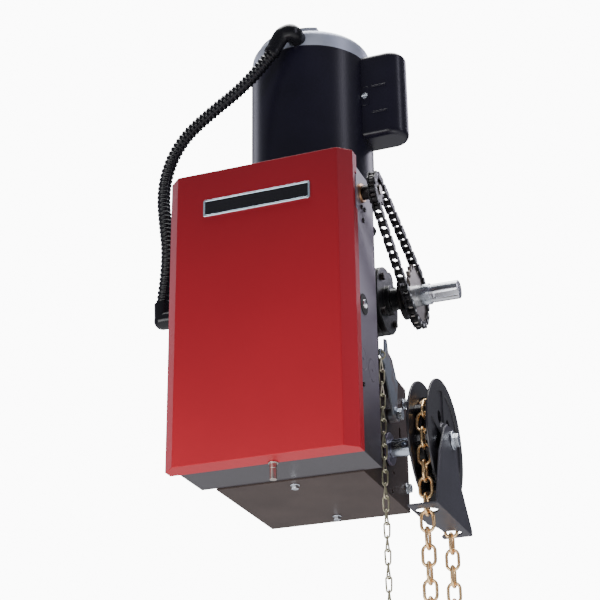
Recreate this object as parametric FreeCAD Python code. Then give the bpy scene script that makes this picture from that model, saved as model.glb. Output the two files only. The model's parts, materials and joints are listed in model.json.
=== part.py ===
"""Gear-driven garage door opener with a hand-chain hoist.

Everything is drawn in millimetres with X to the right, Y from the front cover
to the wall and Z up, from the middle of the cover's lower front edge. write()
then shifts each solid so that the row's origin is the centre of the four wall
bolt holes in the frame's back plate.
"""
import os
import FreeCAD
import Part
from math import asin, atan2, cos, degrees, pi, radians, sin, sqrt, tan

V = FreeCAD.Vector
X_AXIS = V(1, 0, 0)
Y_AXIS = V(0, 1, 0)
Z_AXIS = V(0, 0, 1)

# --- driving dimensions (mm) -------------------------------------------------
SHEET = 1.5                     # cover and box sheet
PLATE = 3.0                     # frame plate

COVER_W = 253.0
COVER_H = 400.0
COVER_D = 31.0
COVER_BEVEL_X = 16.0
COVER_BEVEL_Y = 15.0

BOX_LEFT = -116.0
BOX_RIGHT = 124.5
BOX_RIM_RIGHT = 122.0
BOX_RIM_DEPTH = 33.0
BOX_FRONT = 16.0
BOX_BACK = 103.0
BOX_BOTTOM = 2.0
BOX_TOP = 387.0

FRAME_LEFT = -96.3
FRAME_RIGHT = 101.7
FRAME_FRONT = 103.3
FRAME_BACK = 296.0
FRAME_TOP_FRONT = 184.0
FRAME_TOP_BACK = 176.0
FRAME_MID_X = (FRAME_LEFT + FRAME_RIGHT) / 2
WALL_HOLE_DX = 150.0
WALL_HOLE_DZ = 130.0
WALL_HOLE_R = 5.5
WALL_MID_Z = 90.0
DECK_Z = 170.0

HINGE_X = -120.5
HINGE_Y = 36.0
HINGE_PIN_R = 2.5
KNUCKLE_R = 4.2
KNUCKLE_H = 15.0
HINGE_HEIGHTS = (60.0, 310.0)
RUN_GAP = 0.05                  # radial running clearance

STUD_X = 11.3
STUD_Y = 27.5

PLUG_R = 12.2
PLUG_Y = 48.8
PLUG_Z = 198.1
KNOCKOUT_R = 14.7
KNOCKOUTS = ((40.6, 122.2), (76.8, 119.9))
GROMMET_X = 117.0
GROMMET_Z = 328.0

LIMIT_Y = 52.6
LIMIT_Z = 356.3
LIMIT_SHAFT_R = 6.35
CHAIN_X = 145.5                 # plane of the limit chain
CHAIN_PITCH = 12.7
CHAIN_LINKS = 44
CHAIN_SLOPE = 25.7              # degrees, down from the limit shaft to the output shaft
SMALL_TEETH = 10
BIG_TEETH = 20
ROLLER_R = 3.88
CHAIN_PIN_R = 1.8
LINK_PLATE_T = 1.2
LINK_PLATE_R = 4.9
TOOTH_T = 5.6
NUT_R = 17.0
NUT_T = 8.0
SWITCH_X = (-88.0, -40.0, 66.0)

BOARD_Y = 88.0
BUTTON_X = (-84.0, -58.0, -32.0)
BUTTON_Z = 158.0
DIAL_X = 26.0

OUTPUT_R = 12.7
OUTPUT_END_X = 206.0
OUTPUT_START_X = -46.0
WORM_OFFSET = 44.5              # centre distance of the worm gear
GEAR_RATIO = 20
WORM_R = 11.0
WORM_WHEEL_R = WORM_OFFSET - WORM_R - 0.4
CASE_R = 47.0
CASE_LEFT = -44.0
CASE_RIGHT = 96.0
CASE_WALL = 8.0
CAP_FACE = 105.0
CAP_END = 121.6
EAR_R = 12.0
END_START_X = 170.0             # left edge of the free shaft end

MOTOR_X = 16.0
MOTOR_R = 86.0
MOTOR_BOTTOM = 430.0
MOTOR_TOP = 627.0
BELL_TOP = 656.0
CAPACITOR_X = 129.0
CAPCOVER_HALF = 24.0
CAPCOVER_OUTER = 157.5
CAPCOVER_BOTTOM = 497.0
CAPCOVER_TOP = 630.0
CAP_SCREW_X = 103.5
CAP_SCREW_Z = 562.0

HOIST_Y = 201.0
HOIST_Z = 59.5
AXLE_R = 8.0
SLEEVE_R = 12.0
WHEEL_X = 166.5                 # middle of the chain wheel's groove
WHEEL_R = 82.0
WHEEL_GAP = 22.0
FLANGE_T = 3.0
POCKETS = 8
POCKET_PHASE = -pi / 16         # puts a flat link in each pocket
HAND_PITCH = 21.5
HAND_WIRE_R = 2.1
HAND_LINK_W = 20.0
HAND_STRAIGHT_LINKS = 10
HAND_CHAIN_R = POCKETS * 2 * HAND_PITCH / (2 * pi)

GUIDE_X = 186.0
GUIDE_T = 3.0
GUIDE_BOTTOM = -46.0

LEVER_X = 109.5
LEVER_T = 3.0
LEVER_PIVOT_Y = 213.0
LEVER_PIVOT_Z = 110.0
LEVER_PIVOT_R = 5.0
EYE_Y = 157.5
EYE_Z = 177.0
SASH_PITCH = 17.0
SASH_WIRE_R = 1.2
SASH_LINKS = 19
SASH_RING_R = 5.4
SASH_RING_WIRE_R = 1.1

CONDUIT_R = 8.5
CONDUIT_Y = 70.0
CONDUIT_ROUTE = (
    (0, 616),
    (-19, 594),
    (-52, 563),
    (-90, 539),
    (-127, 512),
    (-146.5, 487.5),
    (-159.5, 458.5),
    (-166, 421),
    (-162, 378),
    (-156, 335),
    (-157.5, 290),
    (-162, 255),
)
ELBOW_MOTOR = V(15, CONDUIT_Y, 643)
ELBOW_TAIL = V(-2, CONDUIT_Y, 636)
ELBOW_BOX = V(-161, CONDUIT_Y, 231)
ELBOW_R = 12.5

MOVE_TO_ROW = V(-FRAME_MID_X, -FRAME_BACK, -WALL_MID_Z)


# --- small helpers -----------------------------------------------------------
def block(x0, x1, y0, y1, z0, z1):
    """Upright box between two corners."""
    return Part.makeBox(x1 - x0, y1 - y0, z1 - z0, V(x0, y0, z0))


def rod(radius, start, axis, length):
    """Solid cylinder from a start point along an axis."""
    return Part.makeCylinder(radius, length, start, axis)


def rod_x(radius, x0, x1, y, z):
    """Solid cylinder along X."""
    return rod(radius, V(x0, y, z), X_AXIS, x1 - x0)


def rod_y(radius, y0, y1, x, z):
    """Solid cylinder along Y."""
    return rod(radius, V(x, y0, z), Y_AXIS, y1 - y0)


def rod_z(radius, z0, z1, x, y):
    """Solid cylinder along Z."""
    return rod(radius, V(x, y, z0), Z_AXIS, z1 - z0)


def fuse(shapes):
    """One solid from overlapping shapes."""
    first = shapes[0]
    if len(shapes) > 1:
        first = first.fuse(list(shapes[1:]))
    return first.removeSplitter()


def prism(points, vector):
    """Straight extrusion of a flat closed outline."""
    return Part.Face(Part.makePolygon(list(points) + [points[0]])).extrude(vector)


def hexagon_x(across_flats, x0, x1, y, z):
    """Hexagonal bar along X."""
    r = across_flats / sqrt(3)
    corners = [V(x0, y + r * cos(k * pi / 3), z + r * sin(k * pi / 3)) for k in range(6)]
    return prism(corners, V(x1 - x0, 0, 0))


def hexagon_z(across_flats, z0, z1, x, y):
    """Hexagonal bar along Z."""
    r = across_flats / sqrt(3)
    corners = [V(x + r * cos(k * pi / 3), y + r * sin(k * pi / 3), z0) for k in range(6)]
    return prism(corners, V(0, 0, z1 - z0))


def rounded(shape, radius, keep):
    """Fillet the edges that a test picks."""
    picked = [edge for edge in shape.Edges if keep(edge)]
    return shape.makeFillet(radius, picked)


def write(node, shapes):
    """Export one node, moved to the row's frame."""
    if not isinstance(shapes, (list, tuple)):
        shapes = [shapes]
    solids = []
    for shape in shapes:
        solids += shape.Solids
    result = Part.makeCompound(solids) if len(solids) > 1 else solids[0]
    result = result.copy()
    result.translate(MOVE_TO_ROW)
    if not result.isValid():
        print("invalid", node)
    result.exportStep("parts/%s.step" % node)


# --- chain path of the limit drive -------------------------------------------
def arc_radius(teeth):
    """Radius whose circumference is a whole number of pitches."""
    return teeth * CHAIN_PITCH / (2 * pi)


def chain_centre_distance():
    """Centre distance at which the loop is exactly CHAIN_LINKS pitches long."""
    small = arc_radius(SMALL_TEETH)
    big = arc_radius(BIG_TEETH)
    low, high = big + small, 400.0
    for _ in range(60):
        mid = (low + high) / 2
        lean = asin((big - small) / mid)
        loop = 2 * mid * cos(lean) + pi * (big + small) + 2 * (big - small) * lean
        if loop < CHAIN_LINKS * CHAIN_PITCH:
            low = mid
        else:
            high = mid
    return low


CENTRES = chain_centre_distance()
OUTPUT_Y = LIMIT_Y + CENTRES * cos(radians(CHAIN_SLOPE))
OUTPUT_Z = LIMIT_Z - CENTRES * sin(radians(CHAIN_SLOPE))
MOTOR_Y = OUTPUT_Y - WORM_OFFSET
EAR_Y = OUTPUT_Y + 18.0
EAR_Z = OUTPUT_Z + 38.0


def chain_point(s):
    """Point (y, z) and direction angle on the chain loop at arc length s.

    The loop starts where the upper strand meets the output sprocket and goes
    round that sprocket, back along the lower strand and round the small one.
    """
    small = arc_radius(SMALL_TEETH)
    big = arc_radius(BIG_TEETH)
    lean = asin((big - small) / CENTRES)
    along = -radians(CHAIN_SLOPE)
    strand = CENTRES * cos(lean)
    big_arc = big * (pi + 2 * lean)
    small_arc = small * (pi - 2 * lean)
    s = s % (big_arc + small_arc + 2 * strand)
    start = along + pi / 2 + lean
    if s < big_arc:
        turn = start - s / big
        return OUTPUT_Y + big * cos(turn), OUTPUT_Z + big * sin(turn), turn - pi / 2
    s -= big_arc
    end = start - pi - 2 * lean
    if s < strand:
        way = end - pi / 2
        y = OUTPUT_Y + big * cos(end) + s * cos(way)
        z = OUTPUT_Z + big * sin(end) + s * sin(way)
        return y, z, way
    s -= strand
    if s < small_arc:
        turn = end - s / small
        return LIMIT_Y + small * cos(turn), LIMIT_Z + small * sin(turn), turn - pi / 2
    s -= small_arc
    way = start - pi / 2
    y = LIMIT_Y + small * cos(start) + s * cos(way)
    z = LIMIT_Z + small * sin(start) + s * sin(way)
    return y, z, way


def link_plate(p, q, x0):
    """Waisted side plate of a roller chain link between two pin centres."""
    length = sqrt((q[0] - p[0]) ** 2 + (q[1] - p[1]) ** 2)
    uy = (q[0] - p[0]) / length
    uz = (q[1] - p[1]) / length
    half = LINK_PLATE_R * 0.72
    corners = []
    for along, across in ((0, -half), (length, -half), (length, half), (0, half)):
        corners.append(V(x0, p[0] + along * uy - across * uz, p[1] + along * uz + across * uy))
    ends = [rod_x(LINK_PLATE_R, x0, x0 + LINK_PLATE_T, c[0], c[1]) for c in (p, q)]
    return fuse([prism(corners, V(LINK_PLATE_T, 0, 0))] + ends)


def limit_chain():
    """Closed roller chain: alternate roller links and pin links."""
    pins = [chain_point(k * CHAIN_PITCH)[:2] for k in range(CHAIN_LINKS)]
    inner_x = 3.2
    outer_x = inner_x + LINK_PLATE_T + 0.15
    end_x = outer_x + LINK_PLATE_T + 0.5
    links = []
    for k in range(CHAIN_LINKS):
        p = pins[k]
        q = pins[(k + 1) % CHAIN_LINKS]
        offset = inner_x if k % 2 == 0 else outer_x
        left = link_plate(p, q, CHAIN_X - offset - LINK_PLATE_T)
        right = link_plate(p, q, CHAIN_X + offset)
        if k % 2 == 0:
            rollers = [rod_x(ROLLER_R, CHAIN_X - inner_x, CHAIN_X + inner_x, c[0], c[1]) for c in (p, q)]
            link = fuse([left, right] + rollers)
            for c in (p, q):
                link = link.cut(rod_x(CHAIN_PIN_R + 0.1, CHAIN_X - 9, CHAIN_X + 9, c[0], c[1]))
        else:
            rivets = [rod_x(CHAIN_PIN_R, CHAIN_X - end_x, CHAIN_X + end_x, c[0], c[1]) for c in (p, q)]
            link = fuse([left, right] + rivets)
        links.append(link)
    return links


def sprocket_disc(teeth, y, z, first_angle):
    """Toothed plate with its first tooth gap at the given angle."""
    pitch_r = arc_radius(teeth)
    tip_r = pitch_r + 2.9
    x0 = CHAIN_X - TOOTH_T / 2
    disc = rod_x(tip_r, x0, x0 + TOOTH_T, y, z)
    seat = ROLLER_R + 0.4
    cutters = []
    for k in range(teeth):
        angle = first_angle + k * 2 * pi / teeth
        cy = y + pitch_r * cos(angle)
        cz = z + pitch_r * sin(angle)
        cutters.append(rod_x(seat, x0 - 1, x0 + TOOTH_T + 1, cy, cz))
        corners = []
        for out, side in ((0, -seat), (7, -seat - 3.6), (7, seat + 3.6), (0, seat)):
            cy2 = cy + out * cos(angle) - side * sin(angle)
            cz2 = cz + out * sin(angle) + side * cos(angle)
            corners.append(V(x0 - 1, cy2, cz2))
        cutters.append(prism(corners, V(TOOTH_T + 2, 0, 0)))
    return disc.cut(cutters)


def pin_angle(y, z):
    """Angle about a sprocket centre of the first chain pin that lies on it."""
    teeth = BIG_TEETH if y > 100 else SMALL_TEETH
    for k in range(CHAIN_LINKS):
        py, pz, _ = chain_point(k * CHAIN_PITCH)
        if abs(sqrt((py - y) ** 2 + (pz - z) ** 2) - arc_radius(teeth)) < 0.01:
            return atan2(pz - z, py - y)
    return 0.0


def output_sprocket():
    """Large limit-drive sprocket with a zinc hub and a backing disc."""
    disc = sprocket_disc(BIG_TEETH, OUTPUT_Y, OUTPUT_Z, pin_angle(OUTPUT_Y, OUTPUT_Z))
    hub = rod_x(14.4, CHAIN_X - 8, CHAIN_X + 20.5, OUTPUT_Y, OUTPUT_Z)
    body = fuse([disc, hub])
    body = body.cut(rod_x(OUTPUT_R, CHAIN_X - 20, CHAIN_X + 30, OUTPUT_Y, OUTPUT_Z))
    screw = rod(2.6, V(CHAIN_X + 13, OUTPUT_Y, OUTPUT_Z), Z_AXIS, 30)
    return body.cut(screw)


def drive_collar():
    """Thin disc on a short hub between the gearbox and the sprocket."""
    disc = rod_x(30, 126.5, 129.5, OUTPUT_Y, OUTPUT_Z)
    hub = rod_x(15.5, 122, CHAIN_X - 8.1, OUTPUT_Y, OUTPUT_Z)
    return fuse([disc, hub]).cut(rod_x(OUTPUT_R, CHAIN_X - 30, CHAIN_X, OUTPUT_Y, OUTPUT_Z))


def limit_sprocket():
    """Small sprocket with a long black hub against the bushing."""
    disc = sprocket_disc(SMALL_TEETH, LIMIT_Y, LIMIT_Z, pin_angle(LIMIT_Y, LIMIT_Z))
    hub = rod_x(9.6, BOX_RIGHT + 3.4, CHAIN_X, LIMIT_Y, LIMIT_Z)
    body = fuse([disc, hub])
    return body.cut(rod_x(LIMIT_SHAFT_R, 100, 170, LIMIT_Y, LIMIT_Z))


# --- sheet-metal: cover, box, frame ------------------------------------------
def tray_outline(inset, z):
    """Plan outline of the cover with bevelled long edges, open at the back."""
    w = COVER_W / 2 - inset
    bevel_y = COVER_BEVEL_Y + inset * 0.42
    bevel_x = COVER_BEVEL_X - inset * 0.58
    return [
        V(-w, COVER_D + inset, z),
        V(-w, bevel_y, z),
        V(-w + bevel_x, inset, z),
        V(w - bevel_x, inset, z),
        V(w, bevel_y, z),
        V(w, COVER_D + inset, z),
    ]


def knuckle(z0):
    """Hinge barrel with a running bore."""
    barrel = rod_z(KNUCKLE_R, z0, z0 + KNUCKLE_H, HINGE_X, HINGE_Y)
    return barrel, rod_z(HINGE_PIN_R + RUN_GAP, z0 - 1, z0 + KNUCKLE_H + 1, HINGE_X, HINGE_Y)


def box_cover():
    """Bent front cover with return flanges and two hinge knuckles."""
    shell = prism(tray_outline(0, 0), V(0, 0, COVER_H))
    shell = shell.cut(prism(tray_outline(SHEET, SHEET), V(0, 0, COVER_H - 2 * SHEET)))
    shell = shell.cut(block(-COVER_W, COVER_W, COVER_D, COVER_D + 20, -5, COVER_H + 5))
    pieces = [shell]
    bores = []
    for height in HINGE_HEIGHTS:
        z0 = height + KNUCKLE_H + 0.5
        barrel, bore = knuckle(z0)
        arm = block(-COVER_W / 2 + 0.2, -COVER_W / 2 + SHEET, COVER_D - 6, HINGE_Y, z0, z0 + KNUCKLE_H)
        web = block(-COVER_W / 2 + 0.2, HINGE_X, HINGE_Y - 2, HINGE_Y, z0, z0 + KNUCKLE_H)
        pieces += [barrel, arm, web]
        bores.append(bore)
    cover = fuse(pieces).cut(bores)
    stud_slot = rod_z(3.6, -1, 3, STUD_X, STUD_Y)
    stud_way = block(STUD_X - 3.6, STUD_X + 3.6, STUD_Y, COVER_D + 2, -1, 3)
    shaft_notch = block(COVER_W / 2 - 3, COVER_W / 2 + 1, 23, 40, LIMIT_Z - 34, LIMIT_Z + 17)
    return cover.cut([stud_slot, stud_way, shaft_notch])


def across_front(edge):
    """True for the short edges through the badge's thickness."""
    return edge.BoundBox.XLength < 0.01 and edge.BoundBox.ZLength < 0.01


def cover_badge():
    """Blank name plate in a raised border."""
    plate = rounded(block(-70.6, 71.6, -1.4, -0.02, 336.2, 355.8), 1.2, across_front)
    border = rounded(block(-73, 74, -2.0, -0.02, 334, 358), 2.5, across_front)
    return [plate, border.cut(block(-70.7, 71.7, -5, 5, 336.1, 355.9))]


def control_box():
    """Deep sheet tray, open at the front, with wall holes and hinge knuckles."""
    body = block(BOX_LEFT, BOX_RIGHT, BOX_RIM_DEPTH, BOX_BACK, BOX_BOTTOM, BOX_TOP)
    rim = block(BOX_LEFT, BOX_RIM_RIGHT, BOX_FRONT, BOX_RIM_DEPTH, BOX_BOTTOM, BOX_TOP)
    low = BOX_BOTTOM + SHEET
    high = BOX_TOP - SHEET
    back = BOX_BACK - SHEET
    hollow = block(BOX_LEFT + SHEET, BOX_RIM_RIGHT - SHEET, 0, back, low, high)
    deep = block(0, BOX_RIGHT - SHEET, BOX_RIM_DEPTH + SHEET, back, low, high)
    shell = fuse([body, rim]).cut([hollow, deep])
    holes = [
        rod_x(8.0, BOX_RIGHT - 5, BOX_RIGHT + 5, LIMIT_Y, LIMIT_Z),
        rod_x(8.0, BOX_LEFT - 5, BOX_LEFT + 5, LIMIT_Y, LIMIT_Z),
        rod_x(PLUG_R, BOX_RIGHT - 5, BOX_RIGHT + 5, PLUG_Y, PLUG_Z),
        rod_x(10.0, BOX_LEFT - 5, BOX_LEFT + 5, ELBOW_BOX.y, ELBOW_BOX.z),
        rod_z(2.5, BOX_BOTTOM - 1, BOX_BOTTOM + 5, STUD_X, STUD_Y),
        rod_y(5.0, BOX_BACK - 5, BOX_BACK + 5, GROMMET_X, GROMMET_Z),
    ]
    holes += [rod_x(KNOCKOUT_R, BOX_RIGHT - 5, BOX_RIGHT + 5, y, z) for y, z in KNOCKOUTS]
    shell = shell.cut(holes)
    pieces = [shell]
    bores = []
    for height in HINGE_HEIGHTS:
        barrel = rod_z(KNUCKLE_R, height, height + KNUCKLE_H, HINGE_X, HINGE_Y)
        arm = block(HINGE_X, BOX_LEFT + 1, HINGE_Y - 2.5, HINGE_Y + 2.5, height, height + KNUCKLE_H)
        pieces += [barrel, arm]
        bores.append(rod_z(HINGE_PIN_R, height - 1, height + KNUCKLE_H + 1, HINGE_X, HINGE_Y))
    return fuse(pieces).cut(bores)


def hinge_pins():
    """Two headed pins, tight in the box knuckles and running in the cover's."""
    pins = []
    for height in HINGE_HEIGHTS:
        pin = rod_z(HINGE_PIN_R, height - 3, height + 2 * KNUCKLE_H + 2, HINGE_X, HINGE_Y)
        head = rod_z(3.6, height - 5, height - 0.02, HINGE_X, HINGE_Y)
        pins.append(fuse([pin, head]))
    return pins


def hole_plug():
    """Snap-in plug with a raised rim and a domed centre."""
    rim = rod_x(13.6, BOX_RIGHT + 0.02, BOX_RIGHT + 1.6, PLUG_Y, PLUG_Z)
    neck = rod_x(PLUG_R - 0.1, BOX_RIGHT - 4, BOX_RIGHT + 1, PLUG_Y, PLUG_Z)
    dome = rod_x(6.0, BOX_RIGHT + 1, BOX_RIGHT + 3.2, PLUG_Y, PLUG_Z)
    return fuse([rim, neck, dome])


def knockout_discs():
    """Two punched discs still held in the right wall."""
    discs = []
    for y, z in KNOCKOUTS:
        disc = rod_x(KNOCKOUT_R - 0.6, BOX_RIGHT - SHEET, BOX_RIGHT, y, z)
        tab = block(BOX_RIGHT - SHEET, BOX_RIGHT, y - 1.5, y + 1.5, z + KNOCKOUT_R - 2, z + KNOCKOUT_R - 0.1)
        disc = fuse([disc, tab])
        discs.append(disc.cut(rod_x(1.6, BOX_RIGHT - 0.6, BOX_RIGHT + 1, y, z)))
    return discs


def screw_x(x, y, z, head_r):
    """Round-headed screw whose head sits on the right wall of the box."""
    head = rod_x(head_r, x + 0.02, x + 2.2, y, z)
    recess = block(x + 1.2, x + 3, y - head_r, y + head_r, z - 0.5, z + 0.5)
    return head.cut(recess)


def wall_screws():
    """Small screws on the right wall of the box."""
    places = ((51.7, 336.0), (63.5, 337.4), (56.2, 318.6), (37.5, 87.6))
    return [screw_x(BOX_RIGHT, y, z, 3.2) for y, z in places]


def bottom_screws():
    """Hexagon-headed screws under the box and the frame."""
    screws = []
    for x, y, top in ((3.7, 121.0, -0.02), (7.2, 269.4, -0.02)):
        washer = rod_z(6.0, top - 1.0, top, x, y)
        head = hexagon_z(9.0, top - 5.5, top - 1.0, x, y)
        screws.append(fuse([washer, head]))
    return screws


def cable_grommet():
    """Rubber grommet in the back of the box, near its right edge."""
    return fuse([
        rod_y(9, BOX_BACK + 0.02, BOX_BACK + 6, GROMMET_X, GROMMET_Z),
        rod_y(4.9, BOX_BACK - 4, BOX_BACK + 1, GROMMET_X, GROMMET_Z),
    ])


def cover_stud():
    """Threaded stud fixed in the floor of the box."""
    stud = rod_z(2.5, -16, BOX_BOTTOM + SHEET + 3, STUD_X, STUD_Y)
    head = rod_z(5.0, BOX_BOTTOM + SHEET + 0.02, BOX_BOTTOM + SHEET + 3, STUD_X, STUD_Y)
    return fuse([stud, head])


def cover_nut():
    """Chromed barrel nut that clamps the cover's lower flange."""
    barrel = rod_z(4.6, -22, -1.6, STUD_X, STUD_Y)
    collar = rod_z(6.4, -1.6, -0.1, STUD_X, STUD_Y)
    groove = rod_z(4.9, -9, -8, STUD_X, STUD_Y).cut(rod_z(4.2, -10, -7, STUD_X, STUD_Y))
    return fuse([barrel, collar]).cut([groove, rod_z(2.5 + RUN_GAP, -17, 1, STUD_X, STUD_Y)])


def operator_frame():
    """Folded chassis: floor, two sides and the wall plate."""
    floor = block(FRAME_LEFT, FRAME_RIGHT, FRAME_FRONT, FRAME_BACK, 0, PLATE)
    corners = [
        V(0, FRAME_FRONT, 0),
        V(0, FRAME_BACK, 0),
        V(0, FRAME_BACK, FRAME_TOP_BACK),
        V(0, FRAME_FRONT, FRAME_TOP_FRONT),
    ]
    side = prism(corners, V(PLATE, 0, 0))
    left = side.translated(V(FRAME_LEFT, 0, 0))
    right = side.translated(V(FRAME_RIGHT - PLATE, 0, 0))
    back = block(FRAME_LEFT, FRAME_RIGHT, FRAME_BACK - PLATE, FRAME_BACK, 0, FRAME_TOP_BACK)
    front = block(FRAME_LEFT, FRAME_RIGHT, FRAME_FRONT, FRAME_FRONT + PLATE, 0, 40)
    body = fuse([floor, left, right, back, front])
    holes = []
    for sx in (-0.5, 0.5):
        for sz in (-0.5, 0.5):
            x = FRAME_MID_X + sx * WALL_HOLE_DX
            z = WALL_MID_Z + sz * WALL_HOLE_DZ
            holes.append(rod_y(WALL_HOLE_R, FRAME_BACK - 10, FRAME_BACK + 5, x, z))
    right_x = FRAME_RIGHT - 5
    holes.append(rod_x(15.0, right_x, FRAME_RIGHT + 5, HOIST_Y, HOIST_Z))
    holes.append(rod_x(AXLE_R, FRAME_LEFT - 5, FRAME_LEFT + 5, HOIST_Y, HOIST_Z))
    holes.append(rod_x(LEVER_PIVOT_R, right_x, FRAME_RIGHT + 5, LEVER_PIVOT_Y, LEVER_PIVOT_Z))
    for y, z in ((218.8, 84.5), (226.4, 35.0), (217.5, 8.0)):
        holes.append(rod_x(2.6, right_x, FRAME_RIGHT + 5, y, z))
    slot_ends = [rod(3.0, V(right_x, 260.5, z), X_AXIS, 10) for z in (96.0, 106.0)]
    slot = fuse(slot_ends + [block(right_x, right_x + 10, 257.5, 263.5, 96, 106)])
    return body.cut(holes + [slot])


def deck_plate():
    """Shelf between the frame's sides that carries the gearbox."""
    left = FRAME_LEFT + PLATE + 0.1
    right = FRAME_RIGHT - PLATE - 0.1
    shelf = block(left, right, 106.5, FRAME_BACK - PLATE - 0.1, DECK_Z, DECK_Z + 4)
    lip_left = block(left, left + 2.5, 110, 288, DECK_Z - 18, DECK_Z)
    lip_right = block(right - 2.5, right, 110, 288, DECK_Z - 18, DECK_Z)
    return fuse([shelf, lip_left, lip_right]).cut(rod_z(13, DECK_Z - 5, DECK_Z + 9, 60, 140))


def box_brackets():
    """Angles that tie the box's back to the deck, and the one behind the lever."""
    brackets = []
    for x in (-70.0, 44.0):
        upright = block(x, x + 24, BOX_BACK + 0.05, BOX_BACK + 3, DECK_Z + 4.05, DECK_Z + 60)
        foot = block(x, x + 24, BOX_BACK + 3, BOX_BACK + 28, DECK_Z + 4.05, DECK_Z + 7)
        brackets.append(fuse([upright, foot]))
    x0 = FRAME_RIGHT + 0.05
    plate = block(x0, x0 + 3, 168, 206, 132, 172)
    shelf = block(x0, x0 + 5, 168, 206, 169, 172)
    brackets.append(fuse([plate, shelf]))
    return brackets


# --- gearbox -----------------------------------------------------------------

def gear_housing():
    """Cast case: a drum along X for the wheel and an upright bore for the worm."""
    drum = rod_x(CASE_R, CASE_LEFT, CASE_RIGHT, OUTPUT_Y, OUTPUT_Z)
    ear = rod_x(EAR_R, 40, CASE_RIGHT, EAR_Y, EAR_Z)
    tower = rod_z(30, OUTPUT_Z - 60, 400, MOTOR_X, MOTOR_Y)
    foot = block(-40, 76, MOTOR_Y - 32, OUTPUT_Y + 46, DECK_Z + 4.05, OUTPUT_Z - 20)
    head = rod_z(52, 399, 410, MOTOR_X, MOTOR_Y)
    case = drum
    for lump in (ear, foot, tower, head):
        case = fuse([case, lump])
    wheel_room = rod_x(CASE_R - CASE_WALL, CASE_LEFT + 12, CASE_RIGHT + 1, OUTPUT_Y, OUTPUT_Z)
    worm_bore = rod_z(20, OUTPUT_Z - 52, 411, MOTOR_X, MOTOR_Y)
    left_seat = rod_x(24, CASE_LEFT - 1, CASE_LEFT + 13, OUTPUT_Y, OUTPUT_Z)
    return case.cut([wheel_room, worm_bore, left_seat])


def gear_cap():
    """Round bearing cover with an ear, a ring and a neck round the shaft."""
    plate = rod_x(CASE_R, CASE_RIGHT + 0.1, CAP_FACE, OUTPUT_Y, OUTPUT_Z)
    ear = rod_x(EAR_R, CASE_RIGHT + 0.1, CAP_FACE, EAR_Y, EAR_Z)
    spigot = rod_x(CASE_R - CASE_WALL - 0.1, CASE_RIGHT - 8, CASE_RIGHT + 1, OUTPUT_Y, OUTPUT_Z)
    ring = rod_x(20.5, CAP_FACE - 1, CAP_FACE + 7, OUTPUT_Y, OUTPUT_Z)
    neck = rod_x(15.0, CAP_FACE + 6, CAP_END, OUTPUT_Y, OUTPUT_Z)
    cap = fuse([plate, ear, spigot, ring, neck])
    bore = rod_x(OUTPUT_R + RUN_GAP, CASE_RIGHT - 10, CAP_END + 1, OUTPUT_Y, OUTPUT_Z)
    seat = rod_x(24, CASE_RIGHT - 9, CASE_RIGHT + 3, OUTPUT_Y, OUTPUT_Z)
    return cap.cut([bore, seat])


def cap_bolts():
    """Hexagon bolts round the bearing cover."""
    bolts = []
    for k in range(4):
        turn = pi / 4 + k * pi / 2
        y = OUTPUT_Y + 36 * cos(turn)
        z = OUTPUT_Z + 36 * sin(turn)
        bolts.append(hexagon_x(9, CAP_FACE + 0.05, CAP_FACE + 4.5, y, z))
    return bolts


def bearing_x(inner, outer, x0, width, y, z):
    """Plain ring standing for a ball bearing on an X shaft."""
    ring = rod_x(outer, x0, x0 + width, y, z)
    return ring.cut(rod_x(inner, x0 - 1, x0 + width + 1, y, z))


def output_bearings():
    """Bearing rings at both ends of the gearbox."""
    return [
        bearing_x(OUTPUT_R + RUN_GAP, 24, CASE_LEFT + 0.5, 12, OUTPUT_Y, OUTPUT_Z),
        bearing_x(OUTPUT_R + RUN_GAP, 24, CASE_RIGHT - 9, 11, OUTPUT_Y, OUTPUT_Z),
    ]


def output_shaft():
    """One-inch keyed shaft that carries the worm wheel and the sprocket."""
    shaft = rod_x(OUTPUT_R, OUTPUT_START_X, OUTPUT_END_X, OUTPUT_Y, OUTPUT_Z)
    shaft = shaft.makeChamfer(1.2, [e for e in shaft.Edges if isinstance(e.Curve, Part.Circle)])
    start = END_START_X
    ring_groove = rod_x(20, start - 2, start, OUTPUT_Y, OUTPUT_Z)
    ring_groove = ring_groove.cut(rod_x(OUTPUT_R - 0.8, start - 3, start + 1, OUTPUT_Y, OUTPUT_Z))
    keyway = block(start + 2, OUTPUT_END_X + 1, OUTPUT_Y - 3.2, OUTPUT_Y + 3.2, OUTPUT_Z + 9.5, OUTPUT_Z + 14)
    keyway.rotate(V(0, OUTPUT_Y, OUTPUT_Z), X_AXIS, 132)
    wheel_key = block(-4, 36, OUTPUT_Y - 3.2, OUTPUT_Y + 3.2, OUTPUT_Z + 9.5, OUTPUT_Z + 14)
    return shaft.cut([ring_groove, keyway, wheel_key])


def output_key():
    """Square key that locks the worm wheel to the shaft."""
    return block(-3.9, 35.9, OUTPUT_Y - 3.15, OUTPUT_Y + 3.15, OUTPUT_Z + 9.55, OUTPUT_Z + 15.6)


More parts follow.
